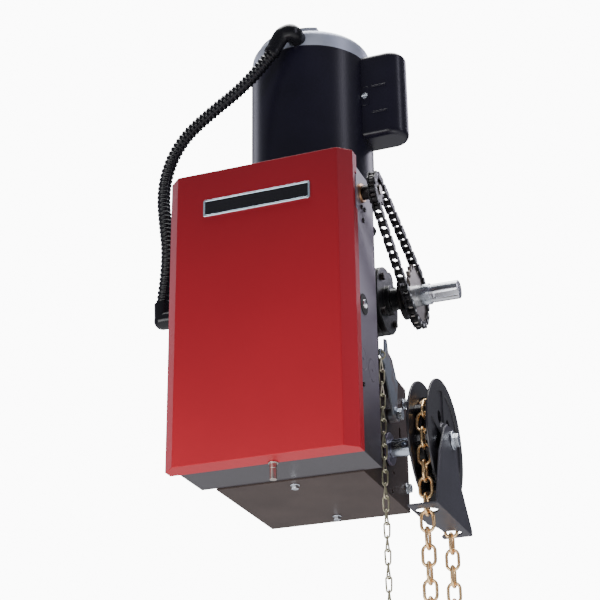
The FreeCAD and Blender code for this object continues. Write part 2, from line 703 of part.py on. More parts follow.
def worm_wheel():
    """Bronze wheel with straight stand-in teeth just clear of the worm."""
    wheel = rod_x(WORM_WHEEL_R, MOTOR_X - 9, MOTOR_X + 9, OUTPUT_Y, OUTPUT_Z)
    hub = rod_x(20, MOTOR_X - 18, MOTOR_X + 18, OUTPUT_Y, OUTPUT_Z)
    wheel = fuse([wheel, hub])
    gaps = []
    for k in range(GEAR_RATIO):
        turn = (k + 0.5) * 2 * pi / GEAR_RATIO
        y = OUTPUT_Y + (WORM_WHEEL_R + 0.6) * cos(turn)
        z = OUTPUT_Z + (WORM_WHEEL_R + 0.6) * sin(turn)
        gaps.append(rod_x(2.4, MOTOR_X - 10, MOTOR_X + 10, y, z))
    key_seat = block(-40, 60, OUTPUT_Y - 3.2, OUTPUT_Y + 3.2, OUTPUT_Z + 5, OUTPUT_Z + 15.6)
    return wheel.cut(gaps + [rod_x(OUTPUT_R, -40, 60, OUTPUT_Y, OUTPUT_Z), key_seat])


def motor_shaft():
    """Rotor shaft whose lower end is the worm, shown as a grooved cylinder."""
    shaft = rod_z(8.0, OUTPUT_Z - 48, BELL_TOP - 14, MOTOR_X, MOTOR_Y)
    worm = rod_z(WORM_R, OUTPUT_Z - 34, OUTPUT_Z + 34, MOTOR_X, MOTOR_Y)
    body = fuse([shaft, worm])
    grooves = []
    for k in range(6):
        z = OUTPUT_Z - 25 + 10 * k
        grooves.append(Part.makeTorus(WORM_R + 0.6, 2.4, V(MOTOR_X, MOTOR_Y, z)))
    return body.cut(grooves)


def bearing_z(inner, outer, z0, width):
    """Plain ring standing for a ball bearing on the motor axis."""
    ring = rod_z(outer, z0, z0 + width, MOTOR_X, MOTOR_Y)
    return ring.cut(rod_z(inner, z0 - 1, z0 + width + 1, MOTOR_X, MOTOR_Y))


def motor_bearings():
    """Bearing rings at the gearbox head and in the end bell."""
    return [
        bearing_z(8.0 + RUN_GAP, 20.0, 392, 12),
        bearing_z(8.0 + RUN_GAP, 17.0, BELL_TOP - 26, 10),
    ]


def oil_plug():
    """Filler plug on the left side of the gearbox."""
    body = rod_x(8, CASE_LEFT - 3, CASE_LEFT - 0.02, OUTPUT_Y, OUTPUT_Z + 35)
    return fuse([body, hexagon_x(11, CASE_LEFT - 8, CASE_LEFT - 3, OUTPUT_Y, OUTPUT_Z + 35)])


# --- motor -------------------------------------------------------------------
def motor_adapter():
    """Cast flange between the gearbox head and the motor shell."""
    flange = rod_z(56, 410.05, 418, MOTOR_X, MOTOR_Y)
    cone = Part.makeCone(56, MOTOR_R - 4, 12, V(MOTOR_X, MOTOR_Y, 418), Z_AXIS)
    spigot = rod_z(MOTOR_R - 2.6, MOTOR_BOTTOM, MOTOR_BOTTOM + 6, MOTOR_X, MOTOR_Y)
    body = fuse([flange, cone, spigot])
    return body.cut(rod_z(10.0, 400, 450, MOTOR_X, MOTOR_Y))


def motor_shell():
    """Rolled steel shell of the motor."""
    shell = rod_z(MOTOR_R, MOTOR_BOTTOM + 0.05, MOTOR_TOP, MOTOR_X, MOTOR_Y)
    return shell.cut(rod_z(MOTOR_R - 2.5, MOTOR_BOTTOM - 1, MOTOR_TOP + 1, MOTOR_X, MOTOR_Y))


def motor_end_bell():
    """Cast top cap with a rounded shoulder and a raised terminal pad."""
    cap = rod_z(MOTOR_R - 1.0, MOTOR_TOP + 0.05, BELL_TOP, MOTOR_X, MOTOR_Y)
    top = [e for e in cap.Edges if isinstance(e.Curve, Part.Circle) and e.BoundBox.ZMin > BELL_TOP - 1]
    cap = cap.makeFillet(11, top)
    pad = rod_z(MOTOR_R - 9, BELL_TOP - 8, BELL_TOP + 6, MOTOR_X, MOTOR_Y)
    pad = pad.common(block(MOTOR_X - 60, MOTOR_X + 34, MOTOR_Y - 90, MOTOR_Y - 20, 600, 700))
    hub = rod_z(24, BELL_TOP - 5, BELL_TOP + 4, MOTOR_X, MOTOR_Y)
    hollow = rod_z(MOTOR_R - 8, MOTOR_TOP - 1, BELL_TOP - 14, MOTOR_X, MOTOR_Y)
    seat = rod_z(17.0, BELL_TOP - 26, BELL_TOP - 9, MOTOR_X, MOTOR_Y)
    inner_hub = rod_z(22, BELL_TOP - 26, BELL_TOP - 10, MOTOR_X, MOTOR_Y)
    bell = fuse([fuse([cap, pad, hub]).cut(hollow), inner_hub])
    return bell.cut(seat)


def bell_screws():
    """Through-bolt heads on top of the end bell."""
    screws = []
    for turn in (65, 155, 335):
        x = MOTOR_X + 62 * cos(radians(turn))
        y = MOTOR_Y + 62 * sin(radians(turn))
        screws.append(hexagon_z(9, BELL_TOP + 0.05, BELL_TOP + 5, x, y))
    return screws


def stator():
    """Laminated ring and its windings, as one ring."""
    ring = rod_z(MOTOR_R - 2.8, 468, 590, MOTOR_X, MOTOR_Y)
    return ring.cut(rod_z(44, 460, 600, MOTOR_X, MOTOR_Y))


def rotor():
    """Laminated rotor pressed on the motor shaft."""
    core = rod_z(43.2, 470, 588, MOTOR_X, MOTOR_Y)
    return core.cut(rod_z(8.0, 460, 600, MOTOR_X, MOTOR_Y))


def capacitor_outline(inset, z):
    """Plan outline of the capacitor cover: flat flanks and a round outer side."""
    half = CAPCOVER_HALF - inset
    outer = CAPCOVER_OUTER - inset
    start = V(85, MOTOR_Y - half, z)
    mid_low = V(outer - half, MOTOR_Y - half, z)
    nose = V(outer, MOTOR_Y, z)
    mid_high = V(outer - half, MOTOR_Y + half, z)
    end = V(85, MOTOR_Y + half, z)
    edges = [
        Part.makeLine(start, mid_low),
        Part.Arc(mid_low, nose, mid_high).toShape(),
        Part.makeLine(mid_high, end),
        Part.makeLine(end, start),
    ]
    return Part.Face(Part.Wire(edges))


def capacitor_cover():
    """Pressed half-oval housing on the right side of the motor."""
    height = CAPCOVER_TOP - CAPCOVER_BOTTOM
    solid = capacitor_outline(0, CAPCOVER_BOTTOM).extrude(V(0, 0, height))
    ends = []
    for e in solid.Edges:
        flat = e.BoundBox.ZMax - e.BoundBox.ZMin < 0.01
        if flat and e.BoundBox.XMax > 100:
            ends.append(e)
    solid = solid.makeFillet(8, ends)
    hollow = capacitor_outline(1.5, CAPCOVER_BOTTOM + 6).extrude(V(0, 0, height - 12))
    motor = rod_z(MOTOR_R + 0.05, 400, 700, MOTOR_X, MOTOR_Y)
    cover = solid.cut([hollow, motor])
    return max(cover.Solids, key=lambda piece: piece.BoundBox.XMax)


def capacitor():
    """Start capacitor can inside its cover."""
    can = rod_z(20, CAPCOVER_BOTTOM + 20, CAPCOVER_TOP - 25, CAPACITOR_X, MOTOR_Y)
    posts = [rod_z(2, CAPCOVER_TOP - 26, CAPCOVER_TOP - 17, CAPACITOR_X + dx, MOTOR_Y) for dx in (-7, 7)]
    return fuse([can] + posts)


def capacitor_screw():
    """Screw that holds the front flank of the capacitor cover."""
    front = MOTOR_Y - CAPCOVER_HALF
    head = rod_y(4.2, front - 2.4, front - 0.02, CAP_SCREW_X, CAP_SCREW_Z)
    slot = block(CAP_SCREW_X - 5, CAP_SCREW_X + 5, front - 3, front - 1.4, CAP_SCREW_Z - 0.5, CAP_SCREW_Z + 0.5)
    return head.cut(slot)


# --- conduit -----------------------------------------------------------------
def conduit_radii():
    """Bend radius at each inner point of the route."""
    points = [V(x, CONDUIT_Y, z) for x, z in CONDUIT_ROUTE]
    radii = []
    for a, b, c in zip(points, points[1:], points[2:]):
        before = b - a
        after = c - b
        half_turn = before.getAngle(after) / 2
        radii.append(0.45 * min(before.Length, after.Length) / tan(half_turn))
    return radii


def conduit():
    """Flexible conduit: straight runs joined by tangent arcs."""
    points = [V(x, CONDUIT_Y, z) for x, z in CONDUIT_ROUTE]
    radii = conduit_radii()
    edges = []
    last = points[0]
    for a, b, c, radius in zip(points, points[1:], points[2:], radii):
        back = (a - b).normalize()
        ahead = (c - b).normalize()
        half_turn = (b - a).getAngle(c - b) / 2
        reach = radius * tan(half_turn)
        start = b + back * reach
        end = b + ahead * reach
        to_centre = (back + ahead).normalize()
        middle = b + to_centre * (radius / cos(half_turn) - radius)
        edges.append(Part.LineSegment(last, start).toShape())
        edges.append(Part.Arc(start, middle, end).toShape())
        last = end
    edges.append(Part.LineSegment(last, points[-1]).toShape())
    path = Part.Wire(edges)
    section = Part.Wire(Part.makeCircle(CONDUIT_R, points[0], (points[1] - points[0]).normalize()))
    tube = path.makePipeShell([section], True, False)
    print("conduit radii", [round(r) for r in radii])
    print("conduit length", round(path.Length, 1))
    print("conduit volume ratio", round(tube.Volume / (pi * CONDUIT_R ** 2 * path.Length), 4))
    return tube


def conduit_end(index):
    """End point of the conduit's route."""
    x, z = CONDUIT_ROUTE[index]
    return V(x, CONDUIT_Y, z)


def conduit_socket(start, ahead):
    """Room for the conduit's end, from its end point towards its next point."""
    return rod(CONDUIT_R + 0.02, start, ahead - start, 25)


def conduit_elbow_motor():
    """Round elbow connector on the front of the end bell."""
    start = conduit_end(0)
    boss = rod_y(ELBOW_R, CONDUIT_Y, MOTOR_Y - MOTOR_R + 8, ELBOW_MOTOR.x, ELBOW_MOTOR.z)
    boss = boss.cut(rod_z(MOTOR_R + 0.05, 600, 700, MOTOR_X, MOTOR_Y))
    arm = rod(ELBOW_R - 1, ELBOW_MOTOR, ELBOW_TAIL - ELBOW_MOTOR, (ELBOW_TAIL - ELBOW_MOTOR).Length)
    nozzle = rod(10.8, ELBOW_TAIL, start - ELBOW_TAIL, (start - ELBOW_TAIL).Length)
    ends = [Part.makeSphere(ELBOW_R, ELBOW_MOTOR), Part.makeSphere(ELBOW_R - 1, ELBOW_TAIL)]
    return fuse([boss, arm, nozzle] + ends).cut(conduit_socket(start, conduit_end(1)))


def conduit_elbow_box():
    """Elbow connector that enters the left wall of the box."""
    centre = ELBOW_BOX
    start = conduit_end(-1)
    nozzle = rod(11.5, centre, start - centre, (start - centre).Length)
    arm = rod_x(12.0, centre.x, BOX_LEFT - 4, centre.y, centre.z)
    nut = hexagon_x(26, BOX_LEFT - 6, BOX_LEFT - 0.05, centre.y, centre.z)
    thread = rod_x(9.9, BOX_LEFT - 1, BOX_LEFT + 9, centre.y, centre.z)
    body = fuse([nozzle, Part.makeSphere(12.0, centre), arm, nut, thread])
    return body.cut(conduit_socket(start, conduit_end(-2)))


# --- limit switch group inside the box ---------------------------------------
def limit_shaft():
    """Threaded shaft that carries the two limit nuts."""
    return rod_x(LIMIT_SHAFT_R, BOX_LEFT + 0.2, CHAIN_X + 6, LIMIT_Y, LIMIT_Z)


def limit_bushings():
    """Flanged bronze bushings in both walls of the box."""
    bushings = []
    bore = rod_x(LIMIT_SHAFT_R + RUN_GAP, BOX_LEFT - 20, BOX_RIGHT + 20, LIMIT_Y, LIMIT_Z)
    right = fuse([
        rod_x(7.95, BOX_RIGHT - 6, BOX_RIGHT + 3, LIMIT_Y, LIMIT_Z),
        rod_x(12.6, BOX_RIGHT + 0.02, BOX_RIGHT + 3, LIMIT_Y, LIMIT_Z),
    ])
    left = fuse([
        rod_x(7.95, BOX_LEFT - 1.2, BOX_LEFT + 6, LIMIT_Y, LIMIT_Z),
        rod_x(12.6, BOX_LEFT + SHEET + 0.02, BOX_LEFT + SHEET + 3, LIMIT_Y, LIMIT_Z),
    ])
    bushings.append(right.cut(bore))
    bushings.append(left.cut(bore))
    return bushings


def limit_nut(x):
    """Notched disc nut on the limit shaft."""
    disc = rod_x(NUT_R, x, x + NUT_T, LIMIT_Y, LIMIT_Z)
    cuts = [rod_x(LIMIT_SHAFT_R + RUN_GAP, x - 1, x + NUT_T + 1, LIMIT_Y, LIMIT_Z)]
    for k in range(12):
        turn = pi / 2 + k * pi / 6
        y = LIMIT_Y + NUT_R * cos(turn)
        z = LIMIT_Z + NUT_R * sin(turn)
        slot = block(x - 1, x + NUT_T + 1, y - 1.8, y + 1.8, z - 3.5, z + 3.5)
        slot.rotate(V(x, y, z), X_AXIS, degrees(turn) - 90)
        cuts.append(slot)
    return disc.cut(cuts)


def nut_retainer():
    """Sprung plate whose lower edge sits in the notches of the nuts."""
    blade = block(-103.9, 111.9, LIMIT_Y - 0.8, LIMIT_Y + 0.8, LIMIT_Z + NUT_R - 2.6, LIMIT_Z + NUT_R + 6)
    top = block(-103.9, 111.9, LIMIT_Y - 0.8, LIMIT_Y + 9, LIMIT_Z + NUT_R + 4.6, LIMIT_Z + NUT_R + 6)
    return fuse([blade, top])


def limit_switch(x):
    """Snap-action switch body under the limit shaft."""
    body = block(x, x + 11, LIMIT_Y - 14, LIMIT_Y + 14, LIMIT_Z - 38, LIMIT_Z - 22)
    pins = [block(x + 4, x + 7, LIMIT_Y + d, LIMIT_Y + d + 1, LIMIT_Z - 45, LIMIT_Z - 37) for d in (-10, 0, 9)]
    return fuse([body] + pins)


def switch_lever(x):
    """Spring lever on top of a limit switch."""
    arm = block(x + 3, x + 8, LIMIT_Y - 12, LIMIT_Y + 10, LIMIT_Z - 20.4, LIMIT_Z - 19.6)
    roller = rod_x(1.4, x + 2.5, x + 8.5, LIMIT_Y + 9.5, LIMIT_Z - 19.6)
    root = rod_x(1.1, x + 3, x + 8, LIMIT_Y - 12, LIMIT_Z - 20.4)
    return fuse([arm, roller, root])


def switch_bracket():
    """Channel that carries the limit switches and holds the retainer's ends."""
    shelf = block(-106, 114, LIMIT_Y - 14, BOX_BACK - SHEET - 0.05, LIMIT_Z - 62, LIMIT_Z - 60)
    rail = block(-106, 114, LIMIT_Y - 12, LIMIT_Y + 12, LIMIT_Z - 60, LIMIT_Z - 45.1)
    ends = [block(x, x + 2, LIMIT_Y - 12, 86, LIMIT_Z - 61, LIMIT_Z + 24) for x in (-106, 112)]
    body = fuse([shelf, rail] + ends)
    return body.cut(rod_x(9, -120, 120, LIMIT_Y, LIMIT_Z))


# --- electrical parts inside the box -----------------------------------------

def logic_board():
    """Circuit board on four standoffs with its soldered parts."""
    board = block(-98, 60, BOARD_Y, BOARD_Y + 1.6, 110, 278)
    posts = []
    for x in (-92, 54):
        for z in (116, 272):
            posts.append(rod_y(3, BOARD_Y + 1.5, BOX_BACK - SHEET - 0.05, x, z))
    posts.append(rod_y(3, BOARD_Y - 8.6, BOARD_Y + 0.5, DIAL_X, BUTTON_Z))
    return fuse([board] + posts)


def board_relays():
    """Four relays and a display on the board."""
    parts = [block(-88 + 30 * k, -66 + 30 * k, BOARD_Y - 17, BOARD_Y - 0.02, 236, 262) for k in range(4)]
    parts.append(block(-40, 8, BOARD_Y - 9, BOARD_Y - 0.02, 186, 206))
    return parts


def terminal_blocks():
    """Screw terminals along the lower edge of the board."""
    rows = []
    for k in range(3):
        x = -92 + 46 * k
        row = block(x, x + 42, BOARD_Y - 13, BOARD_Y - 0.02, 114, 128)
        holes = [rod_y(2.2, BOARD_Y - 14, BOARD_Y - 9, x + 5 + 8 * n, 121) for n in range(5)]
        rows.append(row.cut(holes))
    return rows


def button(x, z):
    """Round push button with a rim hidden in its bezel."""
    return rod_y(6.5, BOARD_Y - 14, BOARD_Y - 4, x, z)


def button_bezels():
    """Square bezels that guide the push buttons."""
    bezels = []
    for x in BUTTON_X:
        body = block(x - 10, x + 10, BOARD_Y - 8, BOARD_Y - 0.02, BUTTON_Z - 10, BUTTON_Z + 10)
        bezels.append(body.cut(rod_y(6.8, BOARD_Y - 9, BOARD_Y - 2, x, BUTTON_Z)))
    return bezels


def selector_dial():
    """Rotary selector with a pointer rib."""
    dial = rod_y(11, BOARD_Y - 14, BOARD_Y - 0.4, DIAL_X, BUTTON_Z)
    rib = block(DIAL_X - 1.5, DIAL_X + 1.5, BOARD_Y - 18, BOARD_Y - 13, BUTTON_Z - 9, BUTTON_Z + 10)
    bore = rod_y(3 + RUN_GAP, BOARD_Y - 9, BOARD_Y, DIAL_X, BUTTON_Z)
    return fuse([dial, rib]).cut(bore)


def transformer():
    """Control transformer: laminated core and coil."""
    core = block(-92, -34, 66, BOX_BACK - SHEET - 0.05, 26, 74)
    coil = block(-84, -42, 54, 66, 32, 68)
    return fuse([core, coil])


def contactor():
    """Two motor contactors on a rail."""
    rail = block(-14, 104, BOX_BACK - SHEET - 6, BOX_BACK - SHEET - 0.05, 44, 56)
    bodies = []
    for x in (-8, 46):
        lower = block(x, x + 44, 62, BOX_BACK - SHEET - 6.05, 24, 76)
        upper = block(x + 6, x + 38, 46, 62, 34, 66)
        bodies.append(fuse([lower, upper]))
    return [rail] + bodies


# --- hoist -------------------------------------------------------------------
def hoist_axle():
    """Fixed axle from the left side plate out to the chain guide."""
    axle = rod_x(AXLE_R, FRAME_LEFT - 6, GUIDE_X + GUIDE_T, HOIST_Y, HOIST_Z)
    head = hexagon_x(24, FRAME_LEFT - 12, FRAME_LEFT - 0.05, HOIST_Y, HOIST_Z)
    return fuse([axle, head])


def hoist_sleeve():
    """Plated sleeve that joins the wheel to the inner drive, with a pin hole."""
    sleeve = rod_x(SLEEVE_R, 30, WHEEL_X - WHEEL_GAP / 2 - FLANGE_T - 0.05, HOIST_Y, HOIST_Z)
    sleeve = sleeve.cut(rod_x(AXLE_R + RUN_GAP, 20, 200, HOIST_Y, HOIST_Z))
    return sleeve.cut(rod_y(3.2, HOIST_Y - 20, HOIST_Y - 6, 128, HOIST_Z))


def hoist_collar():
    """Thick washer that runs against the side plate."""
    ring = rod_x(21.5, FRAME_RIGHT + 1.6, FRAME_RIGHT + 6, HOIST_Y, HOIST_Z)
    return ring.cut(rod_x(SLEEVE_R, 90, 200, HOIST_Y, HOIST_Z))


def hoist_bushing():
    """Flanged bushing in the right side plate."""
    bore = rod_x(SLEEVE_R + RUN_GAP, 50, 200, HOIST_Y, HOIST_Z)
    body = rod_x(14.95, FRAME_RIGHT - PLATE - 8, FRAME_RIGHT + 1.0, HOIST_Y, HOIST_Z)
    flange = rod_x(20, FRAME_RIGHT - PLATE - 3, FRAME_RIGHT - PLATE - 0.05, HOIST_Y, HOIST_Z)
    return fuse([body, flange]).cut(bore)


def hoist_clutch():
    """Inner chain sprocket and dog collar of the hoist drive."""
    disc = rod_x(30, 40, 46, HOIST_Y, HOIST_Z)
    gaps = []
    for k in range(14):
        turn = k * 2 * pi / 14
        gaps.append(rod_x(3.6, 39, 47, HOIST_Y + 29 * cos(turn), HOIST_Z + 29 * sin(turn)))
    hub = rod_x(17, 32, 60, HOIST_Y, HOIST_Z)
    dogs = rod_x(21, 60, 66, HOIST_Y, HOIST_Z)
    body = fuse([disc.cut(gaps), hub, dogs])
    return body.cut(rod_x(SLEEVE_R, 20, 80, HOIST_Y, HOIST_Z))


def chain_wheel():
    """Pocket wheel: two flanges, a grooved drum and pocket walls."""
    left = WHEEL_X - WHEEL_GAP / 2 - FLANGE_T
    right = WHEEL_X + WHEEL_GAP / 2
    land_r = HAND_CHAIN_R - HAND_WIRE_R - 0.7
    drum = rod_x(land_r, left, right + FLANGE_T, HOIST_Y, HOIST_Z)
    groove = rod_x(land_r + 1, WHEEL_X - 3, WHEEL_X + 3, HOIST_Y, HOIST_Z)
    groove = groove.cut(rod_x(HAND_CHAIN_R - HAND_LINK_W / 2 - 0.9, WHEEL_X - 4, WHEEL_X + 4, HOIST_Y, HOIST_Z))
    flanges = [rod_x(WHEEL_R, x0, x0 + FLANGE_T, HOIST_Y, HOIST_Z) for x0 in (left, right)]
    body = fuse(flanges + [drum]).cut(groove)
    walls = []
    for k in range(POCKETS):
        turn = (k + 0.5) * 2 * pi / POCKETS + POCKET_PHASE
        for x0, x1 in ((left + 1, WHEEL_X - 3.1), (WHEEL_X + 3.1, right + 1)):
            wall = block(x0, x1, land_r - 2, land_r + 8.5, -4, 4)
            wall.rotate(V(0, 0, 0), X_AXIS, degrees(turn))
            wall.translate(V(0, HOIST_Y, HOIST_Z))
            walls.append(wall)
    body = fuse([body] + walls)
    recesses = []
    for x0 in (left - 1, right + FLANGE_T - 1.6):
        ring = rod_x(66, x0, x0 + 2.6, HOIST_Y, HOIST_Z)
        ring = ring.cut(rod_x(24, x0 - 1, x0 + 4, HOIST_Y, HOIST_Z))
        spokes = []
        for k in range(5):
            spoke = block(x0 - 1, x0 + 4, 0, 80, -6, 6)
            spoke.rotate(V(0, 0, 0), X_AXIS, 90 + 72 * k)
            spoke.translate(V(0, HOIST_Y, HOIST_Z))
            spokes.append(spoke)
        recesses.append(ring.cut(spokes))
    windows = []
    for k in range(5):
        turn = radians(90 + 36 + 72 * k)
        y = HOIST_Y + 33.5 * cos(turn)
        z = HOIST_Z + 33.5 * sin(turn)
        windows.append(rod_x(8.5, left - 6, right + 6, y, z))
    body = body.cut(recesses + windows)
    return body.cut(rod_x(AXLE_R + RUN_GAP, 100, 220, HOIST_Y, HOIST_Z))


def oval_link(wire_r, pitch, width):
    """Oval wire link lying in the YZ plane, its length along Z."""
    bend = width / 2 - wire_r
    half = (pitch + 0.5) / 2 + wire_r - bend
    path = Part.Wire([
        Part.Arc(V(0, bend, half), V(0, 0, half + bend), V(0, -bend, half)).toShape(),
        Part.makeLine(V(0, -bend, half), V(0, -bend, -half)),
        Part.Arc(V(0, -bend, -half), V(0, 0, -half - bend), V(0, bend, -half)).toShape(),
        Part.makeLine(V(0, bend, -half), V(0, bend, half)),
    ])
    section = Part.Wire(Part.makeCircle(wire_r, V(0, bend, half), Z_AXIS))
    return path.makePipeShell([section], True, False)


def hand_chain_point(s):
    """Point (y, z) and direction angle on the hand chain's closed loop."""
    strand = HAND_STRAIGHT_LINKS * HAND_PITCH
    half_loop = POCKETS * HAND_PITCH
    if s < half_loop:
        turn = pi - s / HAND_CHAIN_R
        y = HOIST_Y + HAND_CHAIN_R * cos(turn)
        z = HOIST_Z + HAND_CHAIN_R * sin(turn)
        return y, z, turn - pi / 2
    s -= half_loop
    if s < strand:
        return HOIST_Y + HAND_CHAIN_R, HOIST_Z - s, -pi / 2
    s -= strand
    if s < half_loop:
        turn = -s / HAND_CHAIN_R
        y = HOIST_Y + HAND_CHAIN_R * cos(turn)
        z = HOIST_Z - strand + HAND_CHAIN_R * sin(turn)
        return y, z, turn - pi / 2
    s -= half_loop
    return HOIST_Y - HAND_CHAIN_R, HOIST_Z - strand + s, pi / 2


def hand_chain():
    """Closed loop of welded links over the wheel."""
    plain = oval_link(HAND_WIRE_R, HAND_PITCH, HAND_LINK_W)
    links = []
    for k in range(2 * (POCKETS + HAND_STRAIGHT_LINKS)):
        y, z, way = hand_chain_point((k + 0.5) * HAND_PITCH)
        link = plain.copy()
        if k % 2 == 0:
            link.rotate(V(0, 0, 0), Z_AXIS, 90)
        link.rotate(V(0, 0, 0), X_AXIS, degrees(way) - 90)
        link.translate(V(WHEEL_X, y, z))
        links.append(link)
    return links


def hoist_bolt():
    """Bolt and washer on the outer end of the hoist axle."""
    x0 = GUIDE_X + GUIDE_T + 0.05
    washer = rod_x(12.5, x0, x0 + 2.2, HOIST_Y, HOIST_Z)
    head = hexagon_x(16, x0 + 2.2, x0 + 9, HOIST_Y, HOIST_Z)
    return fuse([washer, head])


def chain_guide():
    """Bent plate clamped on the axle end, with an eye for each chain strand."""
    outline = [
        V(GUIDE_X, 166, 66),
        V(GUIDE_X, 180, 75),
        V(GUIDE_X, 208, 75),
        V(GUIDE_X, 218, 62),
        V(GUIDE_X, 227, 15),
        V(GUIDE_X, 278, GUIDE_BOTTOM + 8),
        V(GUIDE_X, 278, GUIDE_BOTTOM),
        V(GUIDE_X, 118, GUIDE_BOTTOM),
        V(GUIDE_X, 118, GUIDE_BOTTOM + 10),
        V(GUIDE_X, 140, 28),
    ]
    plate = prism(outline, V(GUIDE_T, 0, 0))
    inner = 150.0
    shelf = block(inner, GUIDE_X + GUIDE_T, 118, 278, GUIDE_BOTTOM, GUIDE_BOTTOM + GUIDE_T)
    body = fuse([plate, shelf])
    cuts = [rod_x(AXLE_R, GUIDE_X - 5, GUIDE_X + 10, HOIST_Y, HOIST_Z)]
    for y in (HOIST_Y - HAND_CHAIN_R, HOIST_Y + HAND_CHAIN_R):
        ends = [rod_z(12.0, -80, 0, WHEEL_X + dx, y) for dx in (-2.0, 2.0)]
        middle = block(WHEEL_X - 2, WHEEL_X + 2, y - 12, y + 12, -80, 0)
        cuts.append(fuse(ends + [middle]))
    cuts.append(rod_z(60, -80, -20, inner - 51, HOIST_Y + 37))
    return body.cut(cuts)


def frame_bolts():
    """Plated bolts on the right side plate."""
    bolts = []
    for y, z in ((282.4, 30.0), (282.4, 150.0)):
        washer = rod_x(7.5, FRAME_RIGHT + 0.05, FRAME_RIGHT + 1.5, y, z)
        head = hexagon_x(11, FRAME_RIGHT + 1.5, FRAME_RIGHT + 7, y, z)
        bolts.append(fuse([washer, head]))
    return bolts


# --- manual release ----------------------------------------------------------
def disconnect_lever():
    """Plated plate lever with a narrow tongue and a pivot boss."""
    outline = [
        V(LEVER_X, 174, 203),
        V(LEVER_X, 183, 204),
        V(LEVER_X, 187, 189),
        V(LEVER_X, 203.5, 184),
        V(LEVER_X, 224.5, 157),
        V(LEVER_X, 219, 133),
        V(LEVER_X, 222, 108),
        V(LEVER_X, 205, 104),
        V(LEVER_X, 171, 158),
        V(LEVER_X, 171, 172),
    ]
    plate = prism(outline, V(LEVER_T, 0, 0))
    ear = rod_x(5.4, LEVER_X, LEVER_X + LEVER_T, EYE_Y, EYE_Z)
    neck = [
        V(LEVER_X, EYE_Y, EYE_Z - 4.4),
        V(LEVER_X, 173, 162),
        V(LEVER_X, 175, 184),
        V(LEVER_X, EYE_Y, EYE_Z + 5.4),
    ]
    bridge = prism(neck, V(LEVER_T, 0, 0))
    boss = rod_x(10.0, FRAME_RIGHT + 0.6, LEVER_X + LEVER_T + 2, LEVER_PIVOT_Y, LEVER_PIVOT_Z)
    body = fuse([plate, ear, bridge, boss])
    eye = rod_x(3.2, LEVER_X - 1, LEVER_X + LEVER_T + 1, EYE_Y, EYE_Z)
    pivot = rod_x(LEVER_PIVOT_R + RUN_GAP, 95, 130, LEVER_PIVOT_Y, LEVER_PIVOT_Z)
    return body.cut([eye, pivot])


def lever_pivot():
    """Shoulder bolt on which the release lever turns."""
    inside = FRAME_RIGHT - PLATE
    outside = LEVER_X + LEVER_T + 2.4
    shank = rod_x(LEVER_PIVOT_R, inside - 8, outside + 1, LEVER_PIVOT_Y, LEVER_PIVOT_Z)
    head = hexagon_x(14, outside, outside + 6, LEVER_PIVOT_Y, LEVER_PIVOT_Z)
    nut = hexagon_x(14, inside - 7, inside - 0.05, LEVER_PIVOT_Y, LEVER_PIVOT_Z)
    return fuse([shank, head, nut])


def sash_chain():
    """Light pull chain that hangs from the lever's eye."""
    plain = oval_link(SASH_WIRE_R, SASH_PITCH, 9.4)
    ring_z = EYE_Z + 1.3 - SASH_RING_R
    hook = Part.makeTorus(SASH_RING_R, SASH_RING_WIRE_R, V(LEVER_X + LEVER_T / 2, EYE_Y, ring_z), Y_AXIS)
    links = [hook]
    for k in range(SASH_LINKS):
        link = plain.copy()
        if k % 2 == 1:
            link.rotate(V(0, 0, 0), Z_AXIS, 90)
        z = EYE_Z - 8.55 - (k + 0.5) * SASH_PITCH
        link.translate(V(LEVER_X + LEVER_T / 2, EYE_Y, z))
        links.append(link)
    return links


